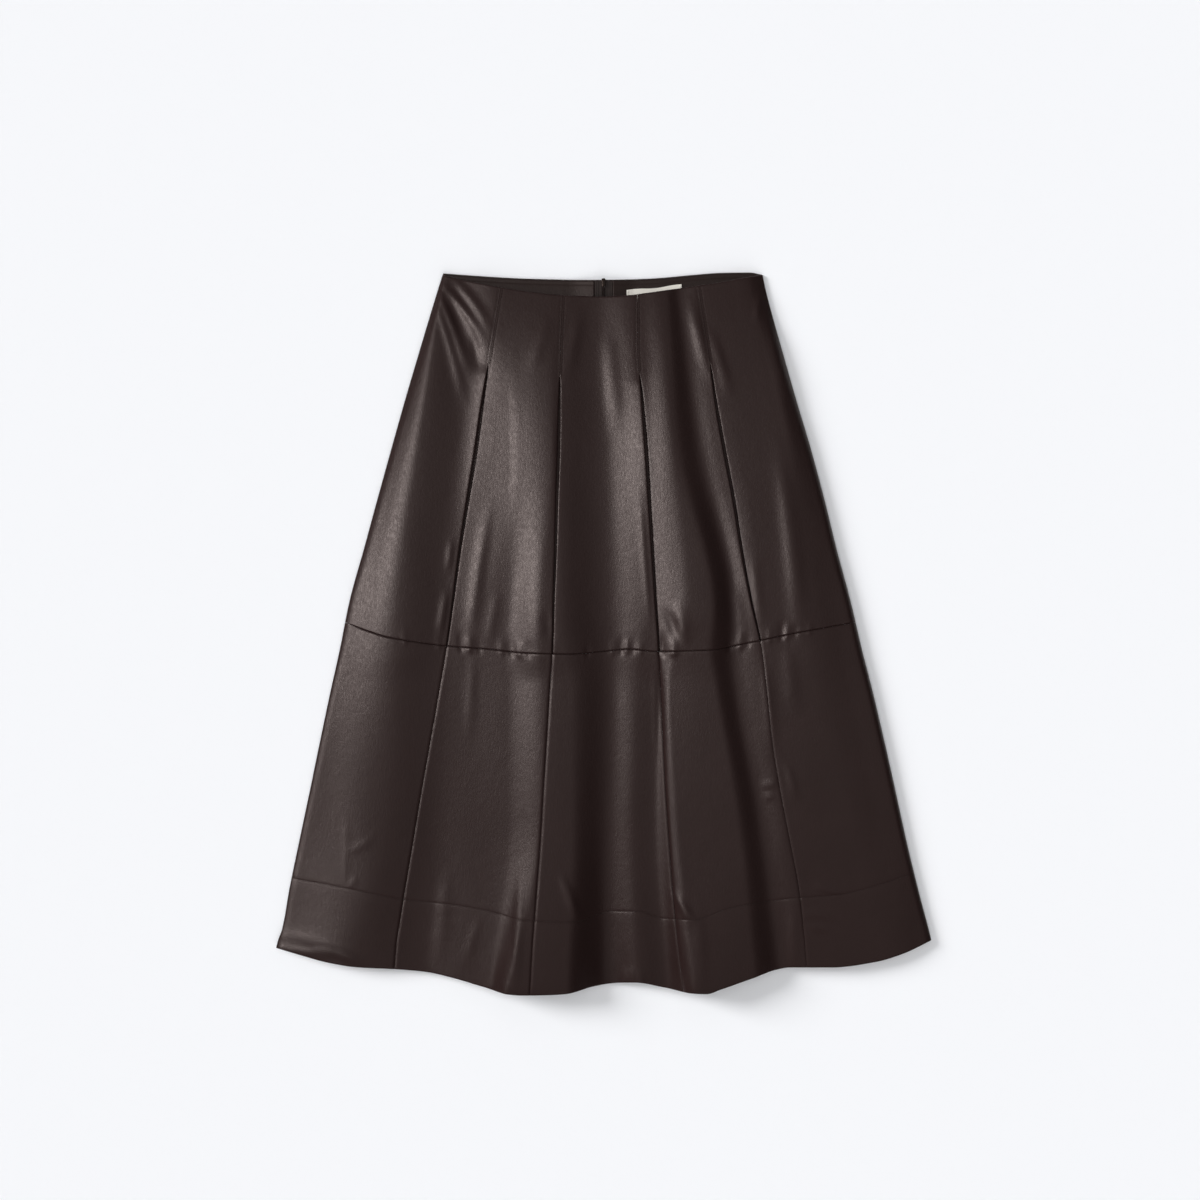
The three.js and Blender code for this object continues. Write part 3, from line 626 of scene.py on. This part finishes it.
def woven_tape(name, colour, ridge, rib_mm):
    """Woven polyester: matt, in upright ribs."""
    made, tree = material(name)
    place = add(tree, "ShaderNodeTexCoord").outputs["Object"]
    ribs = add(tree, "ShaderNodeTexWave",
               {"wave_type": "BANDS", "bands_direction": "X", "Scale": waves_per_metre(rib_mm),
                "Distortion": 0.4, "Detail": 1.0},
               {"Vector": place})
    picks = add(tree, "ShaderNodeTexWave",
                {"wave_type": "BANDS", "bands_direction": "Y", "Scale": waves_per_metre(rib_mm * 0.6)},
                {"Vector": place})
    weave = add(tree, "ShaderNodeMath", {"operation": "MULTIPLY"},
                {0: ribs.outputs["Fac"], 1: picks.outputs["Fac"]}).outputs["Value"]
    # The weave's ridges are painted lighter than its hollows: a painted highlight on the ribs, with
    # painted shade between them.
    tint = add(tree, "ShaderNodeMix", {"data_type": "RGBA", 6: linear(colour), 7: linear(ridge)},
               {0: weave})
    bump = add(tree, "ShaderNodeBump", {"Strength": 0.6, "Distance": 0.2 * MM}, {"Height": weave})
    shader = add(tree, "ShaderNodeBsdfPrincipled", {"Roughness": 0.85, "IOR": 1.5, "Sheen Weight": 0.15},
                 {"Base Color": tint.outputs[2], "Normal": bump.outputs["Normal"]})
    add(tree, "ShaderNodeOutputMaterial", {}, {"Surface": shader.outputs["BSDF"]})
    return made


def woven_satin(name, colour, shade):
    """Woven polyester satin: bright, smooth, with a fine thread across it."""
    made, tree = material(name)
    place = add(tree, "ShaderNodeTexCoord").outputs["Object"]
    # Threads of 0.2 mm are drawn 0.6 mm apart
    threads = add(tree, "ShaderNodeTexWave",
                  {"wave_type": "BANDS", "bands_direction": "Y", "Scale": waves_per_metre(0.6),
                   "Distortion": 0.6, "Detail": 2.0},
                  {"Vector": place}).outputs["Fac"]
    # Between the threads the satin is painted in a darker tone: painted shade.
    tint = add(tree, "ShaderNodeMix", {"data_type": "RGBA", 6: linear(shade), 7: linear(colour)},
               {0: threads})
    bump = add(tree, "ShaderNodeBump", {"Strength": 0.3, "Distance": 0.1 * MM}, {"Height": threads})
    shader = add(tree, "ShaderNodeBsdfPrincipled", {"Roughness": 0.45, "IOR": 1.5, "Sheen Weight": 0.2},
                 {"Base Color": tint.outputs[2], "Normal": bump.outputs["Normal"]})
    add(tree, "ShaderNodeOutputMaterial", {}, {"Surface": shader.outputs["BSDF"]})
    return made


def plain_finish(name, colour, light, roughness, metallic, grain_mm):
    """One colour with a slight mottle, for thread, nylon and lacquered zinc."""
    made, tree = material(name)
    place = add(tree, "ShaderNodeTexCoord").outputs["Object"]
    mottle = add(tree, "ShaderNodeTexNoise", {"Scale": per_metre(grain_mm), "Detail": 2.0},
                 {"Vector": place}).outputs["Fac"]
    tint = add(tree, "ShaderNodeMix", {"data_type": "RGBA", 6: linear(colour), 7: linear(light)},
               {0: mottle})
    bump = add(tree, "ShaderNodeBump", {"Strength": 0.1, "Distance": 0.05 * MM}, {"Height": mottle})
    shader = add(tree, "ShaderNodeBsdfPrincipled", {"Roughness": roughness, "Metallic": metallic},
                 {"Base Color": tint.outputs[2], "Normal": bump.outputs["Normal"]})
    add(tree, "ShaderNodeOutputMaterial", {}, {"Surface": shader.outputs["BSDF"]})
    return made


LEATHER = faux_leather("polyurethane_leather_embossed", "#201514", "#251918", 0.37)
# The facing is the same leather as the outside with its colour painted darker: painted shade inside the
# waist, under the front.
SHADED_FACING_LEATHER = faux_leather("polyurethane_leather_facing_painted_shade", "#1b1210", "#201614", 0.46)
TAPE_CLOTH = woven_tape("polyester_tape_woven", "#1d1614", "#332825", 1.3)
SATIN = woven_satin("polyester_satin_woven", "#f4f0e8", "#dcd6cb")
NYLON = plain_finish("nylon_coil_moulded", "#211917", "#2b211f", 0.4, 0.0, 0.5)
ZINC = plain_finish("zinc_lacquered_diecast", "#3a302c", "#4a3f3a", 0.25, 0.9, 0.8)
SEWING = plain_finish("polyester_thread_twisted", "#1c1412", "#271d1a", 0.5, 0.0, 0.3)

# Front gores

PLEATS = LINE_NAMES[1:-1]
EDGE_STEPS = [0, 0.3, 0.8, 1.5, 2.4, 3.4, 4.6, 6.2, 8.4, 11]
ROLL_STEPS = [0, 0.15, 0.45, 0.9, 1.6, 2.5, 3.6, 4.9, 6.3, ROLL]
WAIST_STEPS = [0, 0.4, 1, 1.8, 3, 5, 8]
SEAM_STEPS = [0, 0.3, 0.9, 1.8, 3, 4.4, 6, 8]
HEM_STEPS = [0, 0.3, 0.7, 1.4, 2.4, *np.linspace(4, HEM_DEPTH - 3, 22)]
HEM_STEPS += [HEM_DEPTH + d for d in (-1.8, -0.9, 0, 0.9, 1.8, 4)]


def pleat_open(x, y):
    """0 where a pleat is sewn shut, 1 where it is open."""
    return soft(front_waist(x) - y - PLEAT_STITCHED, *PLEAT_OPENS)


def mouth_half(x, y):
    """Half the gap of a pleat, which opens below its stitching and then nearly closes."""
    below = front_waist(x) - y - PLEAT_STITCHED
    opened = ramp(below, 0, MOUTH_OPENS) * (1 - MOUTH_CLOSING * ramp(below, *MOUTH_CLOSES))
    return (SEAM_GAP + (PLEAT_MOUTH - SEAM_GAP) * opened) / 2


def lower_seam(y):
    """Half the gap of a lower seam. The hem's turning closes it."""
    return CLOSED_SEAM + (SEAM_GAP / 2 - CLOSED_SEAM) * ramp(y, *SEAM_CLOSES)


def front_gore(index, tier):
    left_name, right_name = LINE_NAMES[index:index + 2]
    upper_tier = tier == "upper"
    sewn = [name for name in (left_name, right_name) if name in PLEATS]

    def gap(name, y):
        if name not in sewn:
            return 0
        return mouth_half(LINE[name](y), y) if upper_tier else lower_seam(y)

    def inset(name, x, y):
        return np.abs(x - LINE[name](y)) - gap(name, y)

    def top(x, y):
        z = front_face(x, y)
        raised = ramp(z, *SEAM_SINKS)
        if upper_tier:
            z = z - raised * rounded(from_tier_seam(x, y), UPPER_SEAM_RADIUS, UPPER_SEAM_FALL)
        else:
            z = z - raised * eased(from_tier_seam(x, y), LOWER_SEAM_WIDTH, LOWER_SEAM_FALL)
        for name in sewn:
            d = np.maximum(0, inset(name, x, y))
            ditch = eased(d, DITCH_WIDTH, DITCH[name])
            if not upper_tier:
                z = z - ditch * raised
                continue
            is_open = pleat_open(x, y)
            fold = OPEN_DITCH * ditch + rounded(d, FOLD_RADIUS, FOLD_RADIUS)
            z = z - is_open * fold - (1 - is_open) * bell(d, STITCH_ROW, STITCH_BED, STITCH_SINK)
            stand, tuck = (smooth(PLEAT_LEVELS, heights, y) for heights in PLEAT_EDGES[name])
            if name == right_name:
                z = z + is_open * eased(d, STAND, stand)
            else:
                z = z - is_open * eased(d, TUCK, tuck)
        if upper_tier:
            return z - rounded(front_waist(x) - y, TURNED_RADIUS, WAIST_FALL)
        d = np.maximum(0, y - front_hem(x)) / hem_depth(x)
        z = z - rounded(d, TURNED_RADIUS, HEM_FALL)
        z = z - bell(d, HEM_DEPTH, HEM_STITCH_BED, HEM_STITCH_SINK)
        return z + HEM_SWELL * soft(HEM_DEPTH - d, *HEM_SWELL_REACH)

    def under(x, y):
        near = np.min([inset(name, x, y) for name in sewn], axis=0)
        if upper_tier:
            double = (front_waist(x) - y < WAIST_TURNING) | (near < LIP)
        else:
            double = y < hem_stitching(x)
        turning = (TURNED - CLOTH) * double * ramp(from_sides(x, y), 0, ROLL)
        return np.maximum(EDGE_UNDER, top(x, y) - CLOTH * steepness(x, y) - turning)

    bounds = (
        lambda y: LINE[left_name](y) + gap(left_name, y),
        lambda y: LINE[right_name](y) - gap(right_name, y),
        front_waist if upper_tier else below_seam,
        above_seam if upper_tier else front_hem,
    )
    near_left = EDGE_STEPS if left_name in sewn else ROLL_STEPS
    near_right = EDGE_STEPS if right_name in sewn else ROLL_STEPS
    length = FRONT_LENGTH[tier]
    columns = steps(near_left, near_right, width_at(bounds, FRONT_MIDDLE[tier]), 2.4)
    if upper_tier:
        rows = steps(WAIST_STEPS, SEAM_STEPS, length, 3)
    else:
        rows = steps(SEAM_STEPS, HEM_STEPS, length, 3.65)
    stretch = unstretched if upper_tier else hem_depth
    obj = wall(f"front_{tier}_{index + 1}", bounds, columns, rows, top, under, LEATHER, stretch)
    narrow, wide = (width_at(bounds, y) for y in FRONT_ENDS[tier])
    return obj


for tier_name in ("upper", "lower"):
    for gore in range(5):
        front_gore(gore, tier_name)

# The strip behind each pleat

for number, name in enumerate(PLEATS, start=1):
    half = UNDERLAY_WIDTH / 2 - SEAM_GAP
    pleat_bounds = (
        lambda y, name=name: LINE[name](y) - half,
        lambda y, name=name: LINE[name](y) + half,
        lambda x: front_waist(x) - PLEAT_STITCHED + LIP,
        lambda x: mid_seam(x) + SEAM_CLEAR,
    )
    strip = wall(
        f"pleat_underlay_{number}", pleat_bounds,
        steps([0], [0], 2 * half, 2), steps([0], [0], UNDERLAY_LENGTH, 5),
        lambda x, y: front_height(x, y) - UNDERLAY_DROP + UNDERLAY_RIPPLE * ripple(x, y),
        lambda x, y: front_height(x, y) - UNDERLAY_DROP - CLOTH, LEATHER)

# Back gores

BACK_SEAMS = ("left", "p1", "p2", None, "p3", "p4", "right")
BACK_EDGE_STEPS = [0, 0.5, 1.2, 2.5, 6]
BACK_WAIST_STEPS = [0, 1.5, 4, 8]
BACK_HEM_STEPS = [0, 4, 20, 40, 60, HEM_DEPTH, HEM_DEPTH + 2]


def back_line(name, y):
    return np.zeros_like(np.asarray(y, float)) if name is None else LINE[name](y)


def back_gore(index, tier):
    left_name, right_name = BACK_SEAMS[index:index + 2]
    upper_tier = tier == "upper"

    def gap(name, y):
        if name in ("left", "right"):
            return 0
        if name is None:
            return np.where(y > back_waist(0) - ZIP_LENGTH, ZIP_SLIT, SEAM_GAP / 2)
        return SEAM_GAP / 2

    bounds = (
        lambda y: back_line(left_name, y) + gap(left_name, y),
        lambda y: back_line(right_name, y) - gap(right_name, y),
        back_waist if upper_tier else below_seam,
        above_seam if upper_tier else back_hem,
    )

    def rim(x, y):
        """How far inside the piece's sewn edges a point is."""
        sides = [np.abs(x - back_line(n, y)) - gap(n, y) for n in (left_name, right_name)]
        return np.minimum(np.minimum(*sides), from_tier_seam(x, y))

    def lift(x, y):
        return back_lift(x, y) if upper_tier else np.zeros_like(x)

    def under(x, y):
        return lift(x, y) + eased(rim(x, y), BACK_ROLL_WIDTH, BACK_ROLL)

    def top(x, y):
        z = lift(x, y) + CLOTH
        if upper_tier:
            return z
        turned = (y - back_hem(x) < HEM_DEPTH) * ramp(from_sides(x, y), *BACK_HEM_SIDES)
        return z + (TURNED - CLOTH) * turned

    length = BACK_LENGTH[tier]
    narrow, wide = (width_at(bounds, y) for y in BACK_ENDS[tier])
    columns = steps(BACK_EDGE_STEPS, BACK_EDGE_STEPS, (narrow + wide) / 2, 5)
    if upper_tier:
        rows = steps(BACK_WAIST_STEPS, BACK_EDGE_STEPS, length, 6)
    else:
        rows = steps(BACK_EDGE_STEPS, BACK_HEM_STEPS, length, 6)
    obj = wall(f"back_{tier}_{index + 1}", bounds, columns, rows, top, under, LEATHER)
    return obj


for tier_name in ("upper", "lower"):
    for gore in range(6):
        back_gore(gore, tier_name)

# Inside the back waist

FACING_ROWS = [FACING_SETBACK, 1.4, 2, 2.8, 4, 5, 6, 8, *range(12, FACING_DEPTH, 5), FACING_DEPTH]
FACING_INNER = TAPE_HALF + SEAM_GAP
TAPE_ROWS = [*np.linspace(TAPE_SETBACK, 60, 20), *np.linspace(65, ZIP_LENGTH - TAPE_SHORT, 26)]
NEAR_ZIP = [0, 0.5, 1.2, 2.4, 4, 8, 16, LIFT_X[1] - FACING_INNER]


def on_back(x, y):
    return CLOTH + back_lift(x, y)


def facing_top(x, y):
    return on_back(x, y) + SEAM_GAP + CLOTH


def folded_facing(x, y):
    """Its upper and inner edges are rounded over, and a row of stitches runs below the upper."""
    depth = back_waist(x) - y
    fold = rounded(np.abs(x) - FACING_INNER, FACING_FOLD_RADIUS, FACING_FOLD)
    rim = rounded(depth - FACING_SETBACK, FACING_RIM_RADIUS, FACING_RIM)
    stitched = bell(depth, FACING_STITCH_AT, FACING_STITCH_BED, FACING_STITCH_SINK)
    return facing_top(x, y) - fold - rim - stitched


for side, sign in (("left", -1), ("right", 1)):
    outer = lambda y, side=side, sign=sign: LINE[side](y) - sign * FACING_SIDE
    if sign > 0:
        facing_columns = steps(NEAR_ZIP, [0], FACING_LENGTH, 6.1)
        edges = (straight(FACING_INNER), outer)
    else:
        facing_columns = steps([0], NEAR_ZIP, FACING_LENGTH, 6.1)
        edges = (outer, straight(-FACING_INNER))
    facing = wall(
        f"back_facing_{side}", (*edges, back_waist, back_waist), facing_columns, first(FACING_ROWS),
        folded_facing, lambda x, y: on_back(x, y) + SEAM_GAP, SHADED_FACING_LEATHER)


def tape_under(x, y):
    return CLOTH + back_lift(np.full_like(x, TAPE_HALF), y) + SEAM_GAP


def tape_top(x, y):
    stitched = bell(np.abs(x), TAPE_STITCH_AT, TAPE_STITCH_BED, TAPE_STITCH_SINK)
    return tape_under(x, y) + TAPE - stitched


for side, start, end in (("left", -TAPE_HALF, -TAPE_INNER), ("right", TAPE_INNER, TAPE_HALF)):
    tape = wall(
        f"zip_tape_{side}", (straight(start), straight(end), back_waist, back_waist),
        steps([0], [0], end - start, 0.8), first(TAPE_ROWS), tape_top, tape_under, TAPE_CLOTH)


def label_line(x):
    """The label is sewn on a little aslant, with a slight wave in its upper edge."""
    along = (x - LABEL_LEFT) / LABEL_WIDTH
    slant = LABEL_SLANT[0] + LABEL_SLANT[1] * along
    return back_waist(x) + slant + LABEL_EDGE_WAVE * np.sin(LABEL_EDGE_TURN * along)


def label_top(x, y):
    wave = LABEL_WAVE * np.sin((x - LABEL_LEFT) / LABEL_WAVE_RUN)
    wave = wave * (1 - ramp(back_waist(x) - y, *LABEL_WAVE_FADES))
    return facing_top(x, y) + SEAM_GAP + LABEL + wave


label = wall(
    "label", (straight(LABEL_LEFT), straight(LABEL_LEFT + LABEL_WIDTH), label_line, label_line),
    steps([0], [0], LABEL_WIDTH, 1.5), first(np.linspace(LABEL_TOP, LABEL_TOP + LABEL_HEIGHT, 16)),
    label_top, lambda x, y: label_top(x, y) - LABEL_CLOTH, SATIN)

# Zip: two rows of nylon teeth with the slider at the top


def tube(path, radius, sides=6):
    """Points and faces of a closed round rod along a path of points."""
    path = np.asarray(path, float)
    along = np.gradient(path, axis=0)
    along /= np.linalg.norm(along, axis=1)[:, None]
    up = np.where(np.abs(along[:, 2:3]) > 0.9, [[1, 0, 0]], [[0, 0, 1]])
    across_it = np.cross(along, up)
    across_it /= np.linalg.norm(across_it, axis=1)[:, None]
    other = np.cross(across_it, along)
    angles = np.linspace(0, 2 * math.pi, sides, endpoint=False)
    rings = [path + radius * (np.cos(a) * across_it + np.sin(a) * other) for a in angles]
    points = np.stack(rings, 1).reshape(-1, 3)
    end = (len(path) - 1) * sides
    faces = []
    for ring in range(0, end, sides):
        for i in range(sides):
            j = (i + 1) % sides
            faces.append([ring + i, ring + j, ring + sides + j, ring + sides + i])
    faces.append(list(range(sides))[::-1])
    faces.append([end + i for i in range(sides)])
    return points, faces


def joined(name, parts, material_used, body="skirt"):
    """Many small closed shapes as one mesh."""
    points, faces, base = [], [], 0
    for part_points, part_faces in parts:
        points.append(part_points)
        faces += [[base + i for i in face] for face in part_faces]
        base += len(part_points)
    return mesh_object(name, np.concatenate(points), faces, material_used, body)


TOOTH_PITCH = 1.2
TOOTH_WIRE = 0.28
TOOTH_SPARE = 0.5
# A tooth's bent wire: how far past the zip's middle, and how high above the tape's underside
TOOTH_WIRE_PATH = [
    (-0.5, 0.35), (0.15, 0.35), (0.3, 0.8), (0.15, 1.4), (-0.7, 1.4), (-1.15, 0.9), (-0.9, 0.35),
]
zip_top = float(back_waist(0)[0])
teeth = []
y_tooth = zip_top - COIL_SETBACK - TOOTH_SPARE
while y_tooth > zip_top - ZIP_LENGTH + COIL_SHORT + TOOTH_SPARE:
    floor_z = float(tape_under(np.zeros(1), np.array([y_tooth]))[0])
    for sign in (-1, 1):
        y_here = y_tooth + sign * TOOTH_PITCH / 4
        wire = [(-sign * x, y_here, floor_z + z) for x, z in TOOTH_WIRE_PATH]
        teeth.append(tube(wire, TOOTH_WIRE))
    y_tooth -= TOOTH_PITCH
coil = joined("zip_coil", teeth, NYLON)
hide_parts("zip_coil")

METAL_ROUND = 0.12
WELD = 0.01
FLAT_WITHIN, CORNER_FROM, METAL_SMOOTH = 3, 35, 40  # degrees


def rounded_copy(node, name, body):
    """The solid's own form with its edges rounded."""
    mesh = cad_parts[node].data.copy()
    mesh.materials.clear()
    mesh.materials.append(ZINC)
    obj = placed(name, mesh)
    work = bmesh.new()
    work.from_mesh(mesh)
    bmesh.ops.remove_doubles(work, verts=work.verts, dist=WELD * MM)
    bmesh.ops.dissolve_limit(work, angle_limit=math.radians(FLAT_WITHIN), verts=work.verts,
                             edges=work.edges)
    corner = math.radians(CORNER_FROM)
    edges = [e for e in work.edges if len(e.link_faces) == 2 and e.calc_face_angle() > corner]
    bmesh.ops.bevel(work, geom=edges, offset=METAL_ROUND * MM, segments=2, profile=0.5,
                    affect="EDGES", clamp_overlap=True)
    bmesh.ops.triangulate(work, faces=work.faces)
    work.to_mesh(mesh)
    work.free()
    mesh.shade_smooth()
    mesh.set_sharp_from_angle(angle=math.radians(METAL_SMOOTH))
    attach(obj, body)
    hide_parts(node)
    return obj


rounded_copy("zip_slider", "slider", "skirt")
rounded_copy("zip_pull_tab", "pull_tab", "pull_tab")

# Sewing

# A stitch, in shares of its own length and of its thread's radius
STITCH_ALONG = np.array([0, 0.12, 0.5, 0.88, 1])
STITCH_RISE = np.array([-0.8, 0.5, 0.8, 0.5, -0.8])
THREAD_SINK = 0.05
PLEAT_SEWN = np.linspace(390, 280, 60)  # the heights between which a pleat's rows are drawn
ROWS_MEET, ROWS_MEET_BY = 14, 0.75  # the two rows draw together above their end
TACK_HALF, TACK_RAISED, TACK_ROWS = 1.6, 0.1, (-0.4, 0, 0.4)
TACK_NEAR = 300
HEM_THREAD_SINK, HEM_THREAD_SIDE = 0.35, 6
LABEL_STITCH_SIDE, LABEL_STITCH_END = 1.5, 0.5


def stitch_row(path, surface, sink=THREAD_SINK):
    """Separate stitches along a path of (x, y) points, lying on a surface."""
    path = np.asarray(path, float)
    reached = np.concatenate([[0], np.cumsum(np.linalg.norm(np.diff(path, axis=0), axis=1))])
    made = []
    for start in np.arange(0.5, reached[-1] - STITCH, STITCH + STITCH_SPACE):
        at = start + STITCH * STITCH_ALONG
        x, y = (np.interp(at, reached, path[:, k]) for k in (0, 1))
        z = surface(x, y) + THREAD * STITCH_RISE - sink
        made.append(tube(np.stack([x, y, z], -1), THREAD, 5))
    return made


def along_pleat(name, offset):
    """A row of stitching beside a pleat, as far down as it is sewn shut."""
    x = LINE[name](PLEAT_SEWN)
    depth = front_waist(x) - PLEAT_SEWN
    taper = 1 - ROWS_MEET_BY * ramp(depth, PLEAT_STITCHED - ROWS_MEET, PLEAT_STITCHED)
    row = np.stack([x + offset * taper, PLEAT_SEWN], -1)
    return row[(depth > 1) & (depth < PLEAT_STITCHED)]


def stitched_face(x, y):
    return front_face(x, y) - STITCH_SINK


pleat_stitches = []
for name in PLEATS:
    for offset in (-STITCH_ROW, STITCH_ROW):
        pleat_stitches += stitch_row(along_pleat(name, offset), stitched_face)
    y_tack = float(front_waist(LINE[name](TACK_NEAR))[0]) - PLEAT_STITCHED
    x_tack = float(LINE[name](y_tack)[0])
    for row in TACK_ROWS:
        tack = [(x_tack - TACK_HALF, y_tack + row), (x_tack + TACK_HALF, y_tack + row)]
        pleat_stitches += stitch_row(np.linspace(*tack, 4), stitched_face, -TACK_RAISED)
pleat_sewing = joined("pleat_topstitching", pleat_stitches, SEWING)

hem_x = np.linspace(-352, 352, 300)
hem_row = np.stack([hem_x, hem_stitching(hem_x)], -1)
hem_row = hem_row[from_sides(*hem_row.T) > HEM_THREAD_SIDE]
hem_stitches = stitch_row(hem_row, lambda x, y: front_face(x, y) - HEM_THREAD_SINK)
hem_sewing = joined("hem_stitching_front", hem_stitches, SEWING)

label_stitches = []
for x_end in (LABEL_LEFT + LABEL_STITCH_SIDE, LABEL_LEFT + LABEL_WIDTH - LABEL_STITCH_SIDE):
    upper_end = float(label_line(x_end)[0]) - LABEL_TOP - LABEL_STITCH_END
    lower_end = upper_end - LABEL_HEIGHT + 2 * LABEL_STITCH_END
    path = np.stack([np.full(8, x_end), np.linspace(upper_end, lower_end, 8)], -1)
    label_stitches += stitch_row(path, label_top)
label_sewing = joined("label_stitching", label_stitches, SATIN)

# Floor, light and camera. The photo's 1200 pixels span this many millimetres.

PIXEL = 1.13
VIEW_SPAN = 1200 * PIXEL
VIEW_CENTRE = (-4, 39.6)
CAMERA_HEIGHT = 4000
SENSOR = 36
HALF_FLOOR = 20.0  # metres, so that its end is out of sight from every side
FLOOR_DROP = 0.0002
WORLD_GLOW = 0.03


def card_white():
    """Smooth white card: matt and almost without colour."""
    made, tree = material("card_white_matt")
    place = add(tree, "ShaderNodeTexCoord").outputs["Object"]
    # The card's tooth, 3 mm
    tooth = add(tree, "ShaderNodeTexNoise", {"Scale": per_metre(3), "Detail": 2.0}, {"Vector": place})
    bump = add(tree, "ShaderNodeBump", {"Strength": 0.03, "Distance": 0.05 * MM},
               {"Height": tooth.outputs["Fac"]})
    shader = add(tree, "ShaderNodeBsdfPrincipled",
                 {"Base Color": linear("#f3f4f7"), "Roughness": 0.9, "Specular IOR Level": 0.1},
                 {"Normal": bump.outputs["Normal"]})
    add(tree, "ShaderNodeOutputMaterial", {}, {"Surface": shader.outputs["BSDF"]})
    return made


floor_corners = [
    (x * HALF_FLOOR, y * HALF_FLOOR, -FLOOR_DROP) for x, y in ((-1, -1), (1, -1), (1, 1), (-1, 1))
]
floor_mesh = bpy.data.meshes.new("floor")
floor_mesh.from_pydata(floor_corners, [], [(0, 1, 2, 3)])
floor_mesh.materials.append(card_white())
floor = placed("floor", floor_mesh)


def aim_light(light, direction):
    light.rotation_euler = Vector(direction).to_track_quat("-Z", "Y").to_euler()


# Two softboxes with grids hang near the skirt on its left and only draw highlights. The strip
# is strongest above the tier seam, the small one lights the corner of the hem.
# Each has a place, a point it aims at, a width, a length, a spread and a power.
SOFTBOXES = {
    "strip_softbox": ((-1.15, 0.25, 2.0), (0, 0.12, 0), 0.4, 1.0, 32, 1.1),
    "corner_softbox": ((-1.2, -0.1, 1.8), (-0.345, -0.35, 0), 0.25, 0.25, 9, 0.04),
}
for name, (place, target, width, length, spread, power) in SOFTBOXES.items():
    softbox_data = bpy.data.lights.new(name, "AREA")
    softbox_data.shape = "RECTANGLE"
    softbox_data.size = width
    softbox_data.size_y = length
    softbox_data.spread = math.radians(spread)
    softbox_data.energy = power
    softbox = placed(name, softbox_data)
    softbox.location = place
    softbox.visible_diffuse = False
    aim_light(softbox, Vector(target) - softbox.location)

# Four far panels only fill. The low one on the left throws the soft shadow on the right.
# The overhead sheet only draws the faint sheen of the level parts.
# Each has a tilt from the vertical, a bearing, a spread and a strength.
PANELS = {
    "left_panel": (69, 160, 22, 3.7),
    "far_panel": (55, 95, 40, 0.2),
    "front_panel": (60, 275, 50, 1.7),
    "ceiling_panel": (4, 120, 60, 0.88),
    "overhead_sheet": (9, 5, 34, 0.07),
}
for name, (tilt, bearing, spread, strength) in PANELS.items():
    panel_data = bpy.data.lights.new(name, "SUN")
    panel_data.angle = math.radians(spread)
    panel_data.energy = strength
    panel = placed(name, panel_data)
    only_sheen = name == "overhead_sheet"
    panel.visible_glossy = only_sheen
    panel.visible_diffuse = not only_sheen
    down, turn = math.radians(tilt), math.radians(bearing)
    aim_light(panel, (-math.sin(down) * math.cos(turn), -math.sin(down) * math.sin(turn), -math.cos(down)))

world = bpy.data.worlds.new("studio")
world.use_nodes = True
background = world.node_tree.nodes["Background"]
background.inputs["Color"].default_value = (1, 1, 1, 1)
background.inputs["Strength"].default_value = WORLD_GLOW
bpy.context.scene.world = world
bpy.context.scene.view_settings.view_transform = "Standard"

camera_data = bpy.data.cameras.new("camera")
camera_data.sensor_width = SENSOR
camera_data.lens = SENSOR * CAMERA_HEIGHT / VIEW_SPAN
camera = placed("camera", camera_data)
camera.location = Vector((*VIEW_CENTRE, CAMERA_HEIGHT)) * MM
bpy.context.scene.camera = camera
